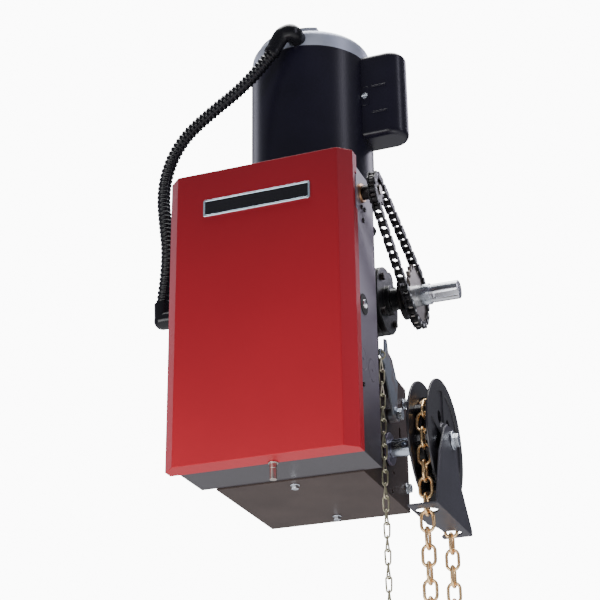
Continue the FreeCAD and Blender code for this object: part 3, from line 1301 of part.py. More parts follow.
def build():
    """Write every node."""
    os.makedirs("parts", exist_ok=True)
    write("operator_frame", operator_frame())
    write("deck_plate", deck_plate())
    write("box_brackets", box_brackets())
    write("control_box", control_box())
    write("box_cover", box_cover())
    write("cover_badge", cover_badge())
    write("hinge_pins", hinge_pins())
    write("cover_nut", cover_nut())
    write("hole_plug", hole_plug())
    write("knockout_discs", knockout_discs())
    write("sheet_screws", wall_screws() + bottom_screws() + frame_bolts() + [cover_stud()])
    write("cable_grommet", cable_grommet())
    write("hoist_axle", [hoist_axle(), hoist_bolt()])
    write("hoist_bushing", hoist_bushing())
    write("hoist_sleeve", [hoist_sleeve(), hoist_clutch()])
    write("hoist_collar", hoist_collar())
    write("chain_wheel", chain_wheel())
    write("hand_chain", hand_chain())
    write("chain_guide", chain_guide())
    write("disconnect_lever", disconnect_lever())
    write("lever_pivot", lever_pivot())
    write("sash_chain", sash_chain())
    write("gear_housing", gear_housing())
    write("gear_cap", gear_cap())
    write("case_bolts", cap_bolts() + [oil_plug()])
    write("bearings", output_bearings() + motor_bearings())
    write("output_shaft", output_shaft())
    write("output_key", output_key())
    write("worm_wheel", worm_wheel())
    write("motor_shaft", motor_shaft())
    write("motor_adapter", motor_adapter())
    write("motor_shell", motor_shell())
    write("motor_end_bell", motor_end_bell())
    write("stator", stator())
    write("rotor", rotor())
    write("capacitor_cover", capacitor_cover())
    write("capacitor", capacitor())
    write("motor_screws", bell_screws() + [capacitor_screw()])
    write("conduit", conduit())
    write("conduit_elbow_motor", conduit_elbow_motor())
    write("conduit_elbow_box", conduit_elbow_box())
    write("output_sprocket", output_sprocket())
    write("drive_collar", drive_collar())
    write("limit_chain", limit_chain())
    write("limit_sprocket", limit_sprocket())
    write("limit_shaft", limit_shaft())
    write("limit_bushings", limit_bushings())
    write("limit_nut_open", limit_nut(-62.0))
    write("limit_nut_close", limit_nut(40.0))
    write("nut_retainer", nut_retainer())
    write("switch_bracket", switch_bracket())
    write("limit_switches", [limit_switch(x) for x in SWITCH_X] + [switch_lever(x) for x in SWITCH_X])
    write("logic_board", logic_board())
    write("board_relays", board_relays() + terminal_blocks() + button_bezels())
    write("push_button_open", button(BUTTON_X[0], BUTTON_Z))
    write("push_button_close", button(BUTTON_X[1], BUTTON_Z))
    write("push_button_stop", button(BUTTON_X[2], BUTTON_Z))
    write("selector_dial", selector_dial())
    write("transformer", transformer())
    write("contactors", contactor())


build()
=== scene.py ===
"""Looks for the garage door opener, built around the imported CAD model."""
import json
import math
import bmesh
import bpy
from mathutils import Matrix, Vector


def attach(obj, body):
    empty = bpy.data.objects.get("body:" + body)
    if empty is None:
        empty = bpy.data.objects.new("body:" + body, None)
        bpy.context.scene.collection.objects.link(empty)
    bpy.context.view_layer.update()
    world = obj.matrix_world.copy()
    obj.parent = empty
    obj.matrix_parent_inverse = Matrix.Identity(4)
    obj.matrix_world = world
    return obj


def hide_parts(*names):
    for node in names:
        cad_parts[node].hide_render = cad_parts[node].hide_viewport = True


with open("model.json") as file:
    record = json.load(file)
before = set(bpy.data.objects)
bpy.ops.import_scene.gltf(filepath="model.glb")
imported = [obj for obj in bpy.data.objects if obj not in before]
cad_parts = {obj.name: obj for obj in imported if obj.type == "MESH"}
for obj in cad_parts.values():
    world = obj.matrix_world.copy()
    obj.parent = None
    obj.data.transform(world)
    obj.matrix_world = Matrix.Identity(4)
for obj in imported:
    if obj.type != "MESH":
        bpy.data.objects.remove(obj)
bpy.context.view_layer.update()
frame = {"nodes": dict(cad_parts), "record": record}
NODES = frame["nodes"]
BODY_OF = {node: body for body, nodes in frame["record"]["behaviour"]["bodies"].items() for node in nodes}

# Pieces are drawn in millimetres from the middle of the cover's lower front
# edge, as the CAD is, and TO_ROW takes them to the frame's metres.
ORIGIN = Vector((2.7, 296.0, 90.0))
MM = 0.001
TO_ROW = Matrix.Scale(MM, 4) @ Matrix.Translation(-ORIGIN)
X = Vector((1, 0, 0))
Z = Vector((0, 0, 1))


# --- camera -------------------------------------------------------------------
LENS_MM = 94.32
SENSOR_MM = 36.0
CAMERA_AT = (0.6701, -1.9462, -0.6928)
CAMERA_RIGHT = (0.9353, 0.3537, -0.0114)
CAMERA_BACK = (0.3178, -0.8537, -0.4126)


def make_camera():
    """A long lens, low on the right, that looks up at the cover."""
    data = bpy.data.cameras.new("camera")
    data.lens = LENS_MM
    data.sensor_width = SENSOR_MM
    data.clip_start = 0.05
    data.clip_end = 60.0
    camera = bpy.data.objects.new("camera", data)
    right = Vector(CAMERA_RIGHT).normalized()
    back = Vector(CAMERA_BACK).normalized()
    up = back.cross(right).normalized()
    right = up.cross(back)
    turn = Matrix((right, up, back)).transposed().to_4x4()
    camera.matrix_world = Matrix.Translation(CAMERA_AT) @ turn
    bpy.context.scene.collection.objects.link(camera)
    bpy.context.scene.camera = camera


make_camera()


# --- mesh helpers ---------------------------------------------------------------
TINY = 1e-6
WELD = 2e-6
FLAT = math.radians(0.4)


def arc_corner(p, before, after, radius, steps):
    """Points of a rounded corner at p."""
    a = (before - p).normalized()
    b = (after - p).normalized()
    half = a.angle(b) / 2
    room = 0.49 * min((before - p).length, (after - p).length)
    reach = min(radius / math.tan(half), room)
    radius = reach * math.tan(half)
    centre = p + (a + b).normalized() * (radius / math.sin(half))
    start = p + a * reach - centre
    end = p + b * reach - centre
    swing = start.angle(end)
    points = []
    for i in range(steps + 1):
        t = i / steps
        w0 = math.sin((1 - t) * swing) / math.sin(swing)
        w1 = math.sin(t * swing) / math.sin(swing)
        points.append(centre + start * w0 + end * w1)
    return points


def rounded(points, radius=0.0, steps=5):
    """Closed 2D outline with rounded corners; a point may carry its own radius."""
    flat = [Vector(p[:2]) for p in points]
    out = []
    for i, p in enumerate(flat):
        own = points[i][2] if len(points[i]) > 2 else radius
        if own < TINY:
            out.append(p)
            continue
        out += arc_corner(p, flat[i - 1], flat[(i + 1) % len(flat)], own, steps)
    return out


def side_frame(axis):
    """Two unit vectors across an axis."""
    w = Vector(axis).normalized()
    aside = Z if abs(w.z) < 0.9 else X
    u = w.cross(aside).normalized()
    return u, w.cross(u), w


def lathe(bm, profile, origin, axis, steps, mat=0):
    """Turned solid: profile is a list of (radius, distance along the axis), from axis to axis."""
    u, v, w = side_frame(axis)
    origin = Vector(origin)
    rings = []
    for r, h in profile:
        if abs(r) < TINY:
            rings.append([bm.verts.new(origin + w * h)])
            continue
        ring = []
        for k in range(steps):
            a = 2 * math.pi * k / steps
            ring.append(bm.verts.new(origin + w * h + (u * math.cos(a) + v * math.sin(a)) * r))
        rings.append(ring)
    for lower, upper in zip(rings, rings[1:]):
        for k in range(steps):
            j = (k + 1) % steps
            if len(lower) == 1:
                face = bm.faces.new((lower[0], upper[j], upper[k]))
            elif len(upper) == 1:
                face = bm.faces.new((lower[k], lower[j], upper[0]))
            else:
                face = bm.faces.new((lower[k], lower[j], upper[j], upper[k]))
            face.material_index = mat


def disc_profile(r, h0, h1, edge):
    """Profile of a disc with rounded outer edges."""
    return rounded([(0, h0), (r, h0, edge), (r, h1, edge), (0, h1)], steps=3)


def tube(bm, path, radius, steps, closed=False):
    """Round tube along a path of points; radius may be a function of (index, angle)."""
    count = len(path)
    tangents = []
    for i in range(count):
        a = path[i - 1] if closed or i > 0 else path[i]
        b = path[(i + 1) % count] if closed or i < count - 1 else path[i]
        tangents.append((b - a).normalized())
    u = side_frame(tangents[0])[0]
    rings = []
    for i in range(count):
        u = (u - tangents[i] * u.dot(tangents[i])).normalized()
        v = tangents[i].cross(u)
        ring = []
        for k in range(steps):
            a = 2 * math.pi * k / steps
            r = radius(i, a) if callable(radius) else radius
            ring.append(bm.verts.new(path[i] + (u * math.cos(a) + v * math.sin(a)) * r))
        rings.append(ring)
    pairs = list(zip(rings, rings[1:]))
    if closed:
        pairs.append((rings[-1], rings[0]))
    for lower, upper in pairs:
        for k in range(steps):
            j = (k + 1) % steps
            bm.faces.new((lower[k], lower[j], upper[j], upper[k]))
    if not closed:
        bm.faces.new(rings[0][::-1])
        bm.faces.new(rings[-1])


def plate(bm, outline, holes, depth, place, edge, mat=0):
    """Flat plate with holes and softened edges, extruded along local Z of place."""
    data = bpy.data.curves.new("plate", "CURVE")
    data.dimensions = "2D"
    data.fill_mode = "BOTH"
    data.extrude = depth / 2 - edge
    data.bevel_depth = edge
    data.bevel_resolution = 1
    data.offset = -edge
    for loop in [outline] + list(holes):
        spline = data.splines.new("POLY")
        spline.points.add(len(loop) - 1)
        for point, p in zip(spline.points, loop):
            point.co = (p[0], p[1], 0, 1)
        spline.use_cyclic_u = True
    thing = bpy.data.objects.new("plate", data)
    mesh = bpy.data.meshes.new_from_object(thing)
    mesh.transform(place @ Matrix.Translation((0, 0, depth / 2)))
    first = len(bm.faces)
    bm.from_mesh(mesh)
    bm.faces.ensure_lookup_table()
    for face in bm.faces[first:]:
        face.material_index = mat
    bpy.data.objects.remove(thing)
    bpy.data.curves.remove(data)
    bpy.data.meshes.remove(mesh)


def on_yz(x):
    """Plane whose local X, Y, Z are the drawing's Y, Z, X."""
    return Matrix(((0, 0, 1, x), (1, 0, 0, 0), (0, 1, 0, 0), (0, 0, 0, 1)))


def on_xz(y):
    """Plane whose local X, Y are the drawing's X, Z and whose depth runs to -Y."""
    return Matrix(((1, 0, 0, 0), (0, 0, -1, y), (0, 1, 0, 0), (0, 0, 0, 1)))


def stamp(bm, mesh, place):
    """Add a placed copy of a mesh."""
    copy = mesh.copy()
    copy.transform(place)
    bm.from_mesh(copy)
    bpy.data.meshes.remove(copy)


def piece(name, bm, body, materials, replaces=None, bevel=0.0, segments=2, crease=35.0,
          placed=False):
    """Finish a mesh as a piece that rides on a CAD body; placed says that it is in metres already."""
    bmesh.ops.recalc_face_normals(bm, faces=bm.faces)
    if not placed:
        bm.transform(TO_ROW)
    limit = math.radians(crease)
    for face in bm.faces:
        face.smooth = True
    if not bevel:
        for edge in bm.edges:
            if len(edge.link_faces) != 2 or edge.calc_face_angle(0) > limit:
                edge.smooth = False
    mesh = bpy.data.meshes.new(name)
    bm.to_mesh(mesh)
    bm.free()
    thing = bpy.data.objects.new(name, mesh)
    bpy.context.scene.collection.objects.link(thing)
    for material in materials:
        mesh.materials.append(material)
    if bevel:
        mod = thing.modifiers.new("bevel", "BEVEL")
        mod.width = bevel * MM
        mod.segments = segments
        mod.limit_method = "ANGLE"
        mod.angle_limit = limit
        mod.use_clamp_overlap = False
        flat = thing.modifiers.new("flat", "WEIGHTED_NORMAL")
        flat.weight = 80
    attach(thing, body)
    if replaces:
        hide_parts(replaces)
    return thing


def softened(node, material, width, segments=2, second=None, picks=None):
    """A copy of a CAD node with its sharp edges rounded over; picks gives faces the second finish."""
    bm = bmesh.new()
    bm.from_mesh(NODES[node].data)
    for face in bm.faces:
        face.material_index = 0
    bmesh.ops.remove_doubles(bm, verts=bm.verts, dist=WELD)
    bmesh.ops.dissolve_limit(bm, angle_limit=FLAT, verts=bm.verts, edges=bm.edges)
    if second:
        back = TO_ROW.inverted()
        for face in bm.faces:
            if picks(back @ face.calc_center_median()):
                face.material_index = 1
    finishes = [material, second] if second else [material]
    piece(node + "_soft", bm, BODY_OF[node], finishes, node, bevel=width, segments=segments,
          placed=True)


# --- materials --------------------------------------------------------------------
def surface(name, color, metallic=0.0, rough=0.4, vary=0.12, vary_scale=14.0, rough_vary=0.08,
            fine=900.0, bump=0.06, bump_depth=0.0002, stretch=(1, 1, 1), second=None,
            second_at=(0.55, 0.75), second_scale=40.0, wear_and_highlight=None, wear_and_highlight_from=0.54, specular=0.5,
            coat=0.0, painted_shade=None):
    """Procedural finish: two scales of colour change, fine grain in bump and roughness, edges coloured as
    wear and as a painted highlight.

    second is a patchy second tone, wear_and_highlight the colour of rubbed edges that also stands in for
    highlights on them, and painted_shade an axis, two places on it in metres and the darker tint that is
    painted there as shade.
    """
    material = bpy.data.materials.new(name)
    material.use_nodes = True
    tree = material.node_tree
    nodes, links = tree.nodes, tree.links
    shader = nodes["Principled BSDF"]
    shader.inputs["Metallic"].default_value = metallic
    shader.inputs["Specular IOR Level"].default_value = specular
    shader.inputs["Coat Weight"].default_value = coat
    shader.inputs["Coat Roughness"].default_value = 0.15
    place = nodes.new("ShaderNodeTexCoord")
    mapping = nodes.new("ShaderNodeMapping")
    mapping.inputs["Scale"].default_value = stretch
    links.new(place.outputs["Object"], mapping.inputs["Vector"])

    def noise(scale, detail, where=place.outputs["Object"]):
        node = nodes.new("ShaderNodeTexNoise")
        node.inputs["Scale"].default_value = scale
        node.inputs["Detail"].default_value = detail
        links.new(where, node.inputs["Vector"])
        return node.outputs["Fac"]

    def ramp(value, a, b, from0=0.35, from1=0.65):
        node = nodes.new("ShaderNodeValToRGB")
        node.color_ramp.elements[0].position = from0
        node.color_ramp.elements[0].color = tuple(a) + (1,)
        node.color_ramp.elements[1].position = from1
        node.color_ramp.elements[1].color = tuple(b) + (1,)
        links.new(value, node.inputs["Fac"])
        return node.outputs["Color"]

    def mix(factor, a, b):
        node = nodes.new("ShaderNodeMix")
        node.data_type = "RGBA"
        links.new(factor, node.inputs["Factor"])
        links.new(a, node.inputs["A"])
        links.new(b, node.inputs["B"])
        return node.outputs["Result"]

    low = [c * (1 - vary) for c in color]
    high = [min(1.0, c * (1 + vary)) for c in color]
    look = ramp(noise(vary_scale, 4.0), low, high)
    if second:
        mask = ramp(noise(second_scale, 5.0), (0, 0, 0), (1, 1, 1), *second_at)
        tone = ramp(noise(vary_scale * 2, 2.0), second, [c * 1.1 for c in second])
        look = mix(mask, look, tone)
    # Painted shade: the colour turns to a darker tint along one axis, standing in for less light falling
    # there.
    if painted_shade:
        axis, start, end, tint = painted_shade
        split = nodes.new("ShaderNodeSeparateXYZ")
        links.new(place.outputs["Object"], split.inputs["Vector"])
        span = nodes.new("ShaderNodeMapRange")
        span.inputs["From Min"].default_value = start
        span.inputs["From Max"].default_value = end
        links.new(split.outputs[axis], span.inputs["Value"])
        tone = ramp(noise(vary_scale, 3.0), [c * 0.95 for c in tint], tint)
        look = mix(span.outputs["Result"], look, tone)
    # Edge colour: partly rubbed wear, partly a painted highlight on the edges.
    if wear_and_highlight:
        geometry = nodes.new("ShaderNodeNewGeometry")
        edge = ramp(geometry.outputs["Pointiness"], (0, 0, 0), (1, 1, 1), wear_and_highlight_from, wear_and_highlight_from + 0.06)
        tone = ramp(noise(vary_scale * 6, 3.0), wear_and_highlight, [min(1.0, c * 1.2) for c in wear_and_highlight])
        look = mix(edge, look, tone)
    links.new(look, shader.inputs["Base Color"])
    grain = noise(fine, 4.0, mapping.outputs["Vector"])
    spread = nodes.new("ShaderNodeMapRange")
    spread.inputs["To Min"].default_value = max(0.02, rough - rough_vary)
    spread.inputs["To Max"].default_value = min(1.0, rough + rough_vary)
    links.new(grain, spread.inputs["Value"])
    links.new(spread.outputs["Result"], shader.inputs["Roughness"])
    relief = nodes.new("ShaderNodeBump")
    relief.inputs["Strength"].default_value = bump
    relief.inputs["Distance"].default_value = bump_depth
    links.new(grain, relief.inputs["Height"])
    links.new(relief.outputs["Normal"], shader.inputs["Normal"])
    return material


# The red paint turns darker towards the top of the cover: painted shade.
RED = surface("red_paint", (0.50, 0.010, 0.022), metallic=0.25, rough=0.42, vary=0.05, vary_scale=5.0,
              fine=1500.0, bump=0.12, specular=0.4, painted_shade=("Z", -0.09, 0.33, (0.22, 0.005, 0.012)))
# The box paint turns darker towards the bottom and on its underside: painted shade.
BOX_GREY = surface("box_paint", (0.18, 0.155, 0.20), rough=0.36, fine=1200.0, bump=0.16, vary=0.08,
                   painted_shade=("Z", 0.10, -0.08, (0.036, 0.031, 0.038)))
FRAME_BROWN = surface("frame_paint", (0.050, 0.034, 0.030), rough=0.5, specular=0.2, fine=1200.0,
                      bump=0.18, vary=0.15)
MOTOR_BLACK = surface("motor_paint", (0.006, 0.005, 0.013), rough=0.3, specular=0.33, fine=1400.0,
                      bump=0.12, vary=0.2)
CAST_BLACK = surface("cast_paint", (0.007, 0.007, 0.008), rough=0.3, specular=0.3, fine=500.0,
                     bump=0.35, bump_depth=0.0006, vary=0.2)
BELL = surface("bell_casting", (0.42, 0.45, 0.54), metallic=0.55, rough=0.42, fine=700.0, bump=0.4,
               bump_depth=0.0004, vary=0.1, second=(0.33, 0.36, 0.45))
ZINC = surface("zinc", (0.62, 0.66, 0.72), metallic=1.0, rough=0.25, fine=900.0, bump=0.12,
               second=(0.54, 0.60, 0.70), second_scale=90.0)
NICKEL = surface("nickel_plate", (0.50, 0.46, 0.42), metallic=1.0, rough=0.34, vary_scale=60.0,
                 bump=0.05)
CHROME = surface("bright_plate", (0.82, 0.82, 0.84), metallic=1.0, rough=0.1, rough_vary=0.04,
                 bump=0.04)
POLISHED = surface("polished_shaft", (0.56, 0.57, 0.61), metallic=1.0, rough=0.22, rough_vary=0.03,
                   stretch=(1, 0.05, 0.05), fine=1500.0, bump=0.02)
GROUND = surface("machined_steel", (0.42, 0.39, 0.36), metallic=1.0, rough=0.34, fine=1400.0, bump=0.2,
                 second=(0.3, 0.26, 0.23), second_scale=60.0)
BLACK_OXIDE = surface("black_oxide", (0.022, 0.018, 0.018), metallic=0.6, rough=0.32, fine=1200.0,
                      bump=0.15, vary=0.3)
CHAIN_BLACK = surface("chain_black", (0.010, 0.009, 0.011), metallic=0.2, rough=0.4, specular=0.3,
                      fine=1200.0, bump=0.15, vary=0.3)
PIN_BRIGHT = surface("pin_ends", (0.85, 0.85, 0.9), metallic=0.35, rough=0.35)
BRONZE = surface("bronze", (0.72, 0.42, 0.24), metallic=1.0, rough=0.3, second=(0.5, 0.27, 0.15))
GOLD = surface("yellow_zinc", (0.98, 0.62, 0.32), metallic=0.9, rough=0.28, vary=0.15, vary_scale=60.0,
               second=(0.62, 0.34, 0.15), second_scale=150.0)
SASH = surface("sash_plate", (0.50, 0.48, 0.34), metallic=0.7, rough=0.32, vary=0.2, vary_scale=90.0,
               second=(0.55, 0.42, 0.36), second_scale=160.0)
# The wheel's edges take a lilac grey that is partly wear and partly a painted highlight on the rims.
WHEEL_BLACK = surface("wheel_paint", (0.016, 0.015, 0.019), rough=0.3, fine=1100.0, bump=0.18,
                      wear_and_highlight=(0.42, 0.40, 0.46), wear_and_highlight_from=0.56)
GUIDE_GREY = surface("guide_paint", (0.036, 0.035, 0.046), rough=0.42, specular=0.4, fine=1300.0,
                     bump=0.15)
CONDUIT_BLACK = surface("conduit_jacket", (0.006, 0.006, 0.008), rough=0.2, specular=0.3, fine=1500.0,
                        bump=0.1, vary=0.3)
ELBOW_BLACK = surface("elbow_black", (0.006, 0.006, 0.008), rough=0.26, specular=0.3, fine=700.0,
                      bump=0.1, vary=0.2)
LEVER_ZINC = surface("lever_zinc", (0.34, 0.38, 0.43), metallic=0.85, rough=0.36,
                     second=(0.30, 0.22, 0.19), second_scale=25.0, second_at=(0.5, 0.7))
SLEEVE_ZINC = surface("sleeve_zinc", (0.42, 0.46, 0.54), metallic=1.0, rough=0.2, stretch=(1, 0.1, 0.1))
COLLAR = surface("collar_paint", (0.16, 0.14, 0.20), metallic=0.6, rough=0.4)
BADGE_BLACK = surface("badge_face", (0.006, 0.006, 0.008), rough=0.18, coat=0.5)
BADGE_RIM = surface("badge_rim", (0.55, 0.68, 0.78), metallic=0.8, rough=0.25)
RUBBER = surface("rubber", (0.015, 0.015, 0.015), rough=0.65, bump=0.3)
BOARD = surface("board_mask", (0.010, 0.11, 0.045), rough=0.3, second=(0.013, 0.145, 0.058),
                second_scale=220.0, second_at=(0.5, 0.54))
LAMINATION = surface("laminations", (0.16, 0.16, 0.17), metallic=0.8, rough=0.45, stretch=(0.1, 0.1, 8))
PLASTIC_BLACK = surface("black_plastic", (0.02, 0.02, 0.022), rough=0.42, bump=0.2)
PLASTIC_GREY = surface("grey_plastic", (0.33, 0.33, 0.34), rough=0.45, bump=0.2)
PLASTIC_WHITE = surface("white_plastic", (0.72, 0.72, 0.69), rough=0.4, bump=0.15)
PLASTIC_BLUE = surface("blue_plastic", (0.03, 0.10, 0.35), rough=0.35, bump=0.15)
PLASTIC_RED = surface("red_plastic", (0.5, 0.02, 0.02), rough=0.3, bump=0.1)
PLASTIC_YELLOW = surface("yellow_plastic", (0.65, 0.48, 0.05), rough=0.38, bump=0.15)

# Nodes that show as the CAD made them, with their finishes.
KEPT = {
    "knockout_discs": BOX_GREY, "hinge_pins": ZINC, "cable_grommet": RUBBER, "hoist_bushing": BRONZE,
    "hand_chain": GOLD, "bearings": GROUND, "output_key": GROUND, "worm_wheel": BRONZE,
    "motor_shaft": GROUND, "motor_end_bell": BELL, "stator": LAMINATION, "rotor": LAMINATION,
    "capacitor_cover": MOTOR_BLACK, "capacitor": PLASTIC_BLACK, "conduit_elbow_box": CONDUIT_BLACK,
    "limit_shaft": GROUND, "nut_retainer": ZINC, "switch_bracket": ZINC, "logic_board": BOARD,
    "push_button_open": PLASTIC_WHITE, "push_button_close": PLASTIC_WHITE, "push_button_stop": PLASTIC_RED,
    "selector_dial": PLASTIC_YELLOW,
}
for node, finish in KEPT.items():
    for used in NODES[node].material_slots:
        used.material = finish


# --- conduit ------------------------------------------------------------------------
# The route's points (x, z) are in metres from the drawing's origin, in one upright plane.
CONDUIT_Y = 0.070
CONDUIT_ROUTE = ((0.0, 0.616), (-0.019, 0.594), (-0.052, 0.563), (-0.090, 0.539), (-0.127, 0.512),
                 (-0.1465, 0.4875), (-0.1595, 0.4585), (-0.166, 0.421), (-0.162, 0.378), (-0.156, 0.335),
                 (-0.1575, 0.290), (-0.162, 0.255))
CONDUIT_R = 0.0085
RIB_PITCH = 0.0066
RIB_HEIGHT = 0.00075
POINTS_PER_RIB = 10


def route_line():
    """Even points along the conduit's own NURBS spline, in metres, and its length."""
    data = bpy.data.curves.new("conduit_line", "CURVE")
    data.dimensions = "3D"
    data.resolution_u = 48
    spline = data.splines.new("NURBS")
    spline.points.add(len(CONDUIT_ROUTE) - 1)
    for point, (x, z) in zip(spline.points, CONDUIT_ROUTE):
        point.co = (*(Vector((x, CONDUIT_Y, z)) - ORIGIN * MM), 1)
    spline.order_u = 3
    spline.use_endpoint_u = True
    thing = bpy.data.objects.new("conduit_line", data)
    mesh = bpy.data.meshes.new_from_object(thing)
    raw = [v.co.copy() for v in mesh.vertices]
    bpy.data.objects.remove(thing)
    bpy.data.curves.remove(data)
    bpy.data.meshes.remove(mesh)
    lengths = [0.0]
    for a, b in zip(raw, raw[1:]):
        lengths.append(lengths[-1] + (b - a).length)
    total = lengths[-1]
    count = int(total / RIB_PITCH * POINTS_PER_RIB)
    even, k = [], 0
    for i in range(count + 1):
        s = total * i / count
        while k < len(lengths) - 2 and lengths[k + 1] < s:
            k += 1
        t = (s - lengths[k]) / (lengths[k + 1] - lengths[k])
        even.append(raw[k].lerp(raw[k + 1], t))
    return even, total


def make_conduit():
    """Ribbed hose along its own spline."""
    line, total = route_line()
    step = total / (len(line) - 1)

    def ribbed(i, angle):
        wave = math.cos(2 * math.pi * i * step / RIB_PITCH)
        return CONDUIT_R + 0.0001 + RIB_HEIGHT * math.tanh(1.8 * wave)

    bm = bmesh.new()
    tube(bm, line, ribbed, steps=36)
    hose = piece("conduit_hose", bm, "frame", [CONDUIT_BLACK], "conduit", crease=60,
                 placed=True)


make_conduit()


# --- cover badge --------------------------------------------------------------------
BADGE_X = (-73, 74)
BADGE_Z = (334, 358)
BADGE_BACK_Y = -0.05
RIM_SIDE = 2.6
RIM_END = 2.4
LAP = 0.2


def slab(x0, x1, z0, z1, corner):
    """Rectangle with rounded corners."""
    return rounded([(x0, z0), (x1, z0), (x1, z1), (x0, z1)], corner)


def badge_outline(side, end, corner):
    """The badge's outline, drawn in by side along X and by end along Z."""
    return slab(BADGE_X[0] + side, BADGE_X[1] - side, BADGE_Z[0] + end, BADGE_Z[1] - end, corner)


def make_badge():
    """Plain dark plate in a bright rim, without lettering."""
    bm = bmesh.new()
    back = on_xz(BADGE_BACK_Y)
    plate(bm, badge_outline(RIM_SIDE - LAP, RIM_END - LAP, 1.2), [], 1.3, back, edge=0.25)
    plate(bm, badge_outline(0, 0, 2.2), [badge_outline(RIM_SIDE, RIM_END, 1.2)], 2.0, back, edge=0.45,
          mat=1)
    piece("badge", bm, "cover", [BADGE_BLACK, BADGE_RIM], "cover_badge")


make_badge()


# --- rounded copies of the CAD parts --------------------------------------------------
# node, finish, material slot, edge width in millimetres, segments across an edge
SOFT = (
    ("box_cover", RED, "cover_paint", 0.7, 3),
    ("control_box", BOX_GREY, "box_paint", 0.5, 2),
    ("operator_frame", FRAME_BROWN, "frame_steel", 0.9, 2),
    ("deck_plate", FRAME_BROWN, "frame_steel", 0.5, 2),
    ("box_brackets", FRAME_BROWN, "bracket_steel", 0.5, 2),
    ("chain_guide", GUIDE_GREY, "guide_paint", 0.8, 2),
    ("disconnect_lever", LEVER_ZINC, "lever_zinc", 0.6, 2),
    ("lever_pivot", ZINC, "zinc", 0.5, 2),
    ("gear_cap", CAST_BLACK, "case_paint", 1.2, 3),
    ("gear_housing", CAST_BLACK, "case_paint", 1.5, 3),
    ("motor_adapter", CAST_BLACK, "case_paint", 1.0, 2),
    ("motor_shell", MOTOR_BLACK, "motor_paint", 0.6, 2),
    ("drive_collar", BLACK_OXIDE, "collar_steel", 0.5, 2),
    ("limit_sprocket", BLACK_OXIDE, "hub_black", 0.35, 2),
    ("chain_wheel", WHEEL_BLACK, "wheel_paint", 0.6, 2),
    ("hoist_sleeve", SLEEVE_ZINC, "zinc_blue", 0.6, 2),
    ("hoist_collar", COLLAR, "collar_paint", 0.7, 2),
    ("hoist_axle", ZINC, "bright_nut", 0.6, 2),
    ("cover_nut", NICKEL, "bright_nut", 0.4, 3),
    ("case_bolts", BLACK_OXIDE, "black_bolt", 0.5, 2),
    ("motor_screws", ZINC, "zinc", 0.4, 2),
    ("output_shaft", POLISHED, "shaft_steel", 0.25, 2),
    ("limit_bushings", BRONZE, "bronze", 0.4, 2),
    ("transformer", LAMINATION, "transformer_grey", 0.8, 2),
    ("contactors", PLASTIC_GREY, "contactor_grey", 0.8, 2),
    ("board_relays", PLASTIC_BLUE, "relay_blue", 0.5, 2),
    ("limit_switches", PLASTIC_BLACK, "switch_black", 0.3, 2),
    ("limit_nut_open", PLASTIC_WHITE, "nut_white", 0.4, 2),
    ("limit_nut_close", PLASTIC_WHITE, "nut_white", 0.4, 2),
)
for node, finish, slot_name, width, rings in SOFT:
    softened(node, finish, width, rings)
SPROCKET_HUB_X = 149
PLUG_BUTTON_X = 126.2
RIGHT_WALL_X = 123
softened("output_sprocket", GROUND, 0.35, 2, ZINC, lambda p: p.x > SPROCKET_HUB_X)
softened("hole_plug", RUBBER, 0.5, 3, CHROME, lambda p: p.x > PLUG_BUTTON_X)
softened("sheet_screws", ZINC, 0.35, 2, BLACK_OXIDE, lambda p: p.x > RIGHT_WALL_X)


# --- limit chain ------------------------------------------------------------------------
CHAIN_X = 145.5
LIMIT_AT = (52.6, 356.3)
PITCH = 12.7
LINKS = 44
SMALL_R = 10 * PITCH / (2 * math.pi)
BIG_R = 20 * PITCH / (2 * math.pi)
SLOPE = math.radians(25.7)
LINK_R = 5.5
LINK_WAIST = 5.0
LINK_T = 1.3
INNER_X = 2.85
OUTER_X = 4.2
RIVET_X = 5.5
ROLLER_R = 4.0
ROLLER_HALF = 2.8
RIVET_HEAD = ((0, -0.2), (1.8, -0.2), (1.8, 0.35), (1.2, 0.7), (0, 0.75))


def centre_distance():
    """Distance between the two sprockets that the chain's length gives."""
    low, high = BIG_R + SMALL_R, 400.0
    for _ in range(60):
        mid = (low + high) / 2
        lean = math.asin((BIG_R - SMALL_R) / mid)
        loop = 2 * mid * math.cos(lean) + math.pi * (BIG_R + SMALL_R) + 2 * (BIG_R - SMALL_R) * lean
        low, high = (mid, high) if loop < LINKS * PITCH else (low, mid)
    return low


CENTRES = centre_distance()
OUTPUT_AT = (LIMIT_AT[0] + CENTRES * math.cos(SLOPE), LIMIT_AT[1] - CENTRES * math.sin(SLOPE))
MOTOR_Y = OUTPUT_AT[0] - 44.5


def chain_pin(k):
    """Place (y, z) of pin k on the chain's loop."""
    lean = math.asin((BIG_R - SMALL_R) / CENTRES)
    strand = CENTRES * math.cos(lean)
    start = -SLOPE + math.pi / 2 + lean
    end = start - math.pi - 2 * lean
    s = k * PITCH
    if s < BIG_R * (math.pi + 2 * lean):
        turn = start - s / BIG_R
        return OUTPUT_AT[0] + BIG_R * math.cos(turn), OUTPUT_AT[1] + BIG_R * math.sin(turn)
    s -= BIG_R * (math.pi + 2 * lean)
    if s < strand:
        way = end - math.pi / 2
        return (OUTPUT_AT[0] + BIG_R * math.cos(end) + s * math.cos(way),
                OUTPUT_AT[1] + BIG_R * math.sin(end) + s * math.sin(way))
    s -= strand
    if s < SMALL_R * (math.pi - 2 * lean):
        turn = end - s / SMALL_R
        return LIMIT_AT[0] + SMALL_R * math.cos(turn), LIMIT_AT[1] + SMALL_R * math.sin(turn)
    s -= SMALL_R * (math.pi - 2 * lean)
    way = start - math.pi / 2
    return (LIMIT_AT[0] + SMALL_R * math.cos(start) + s * math.cos(way),
            LIMIT_AT[1] + SMALL_R * math.sin(start) + s * math.sin(way))


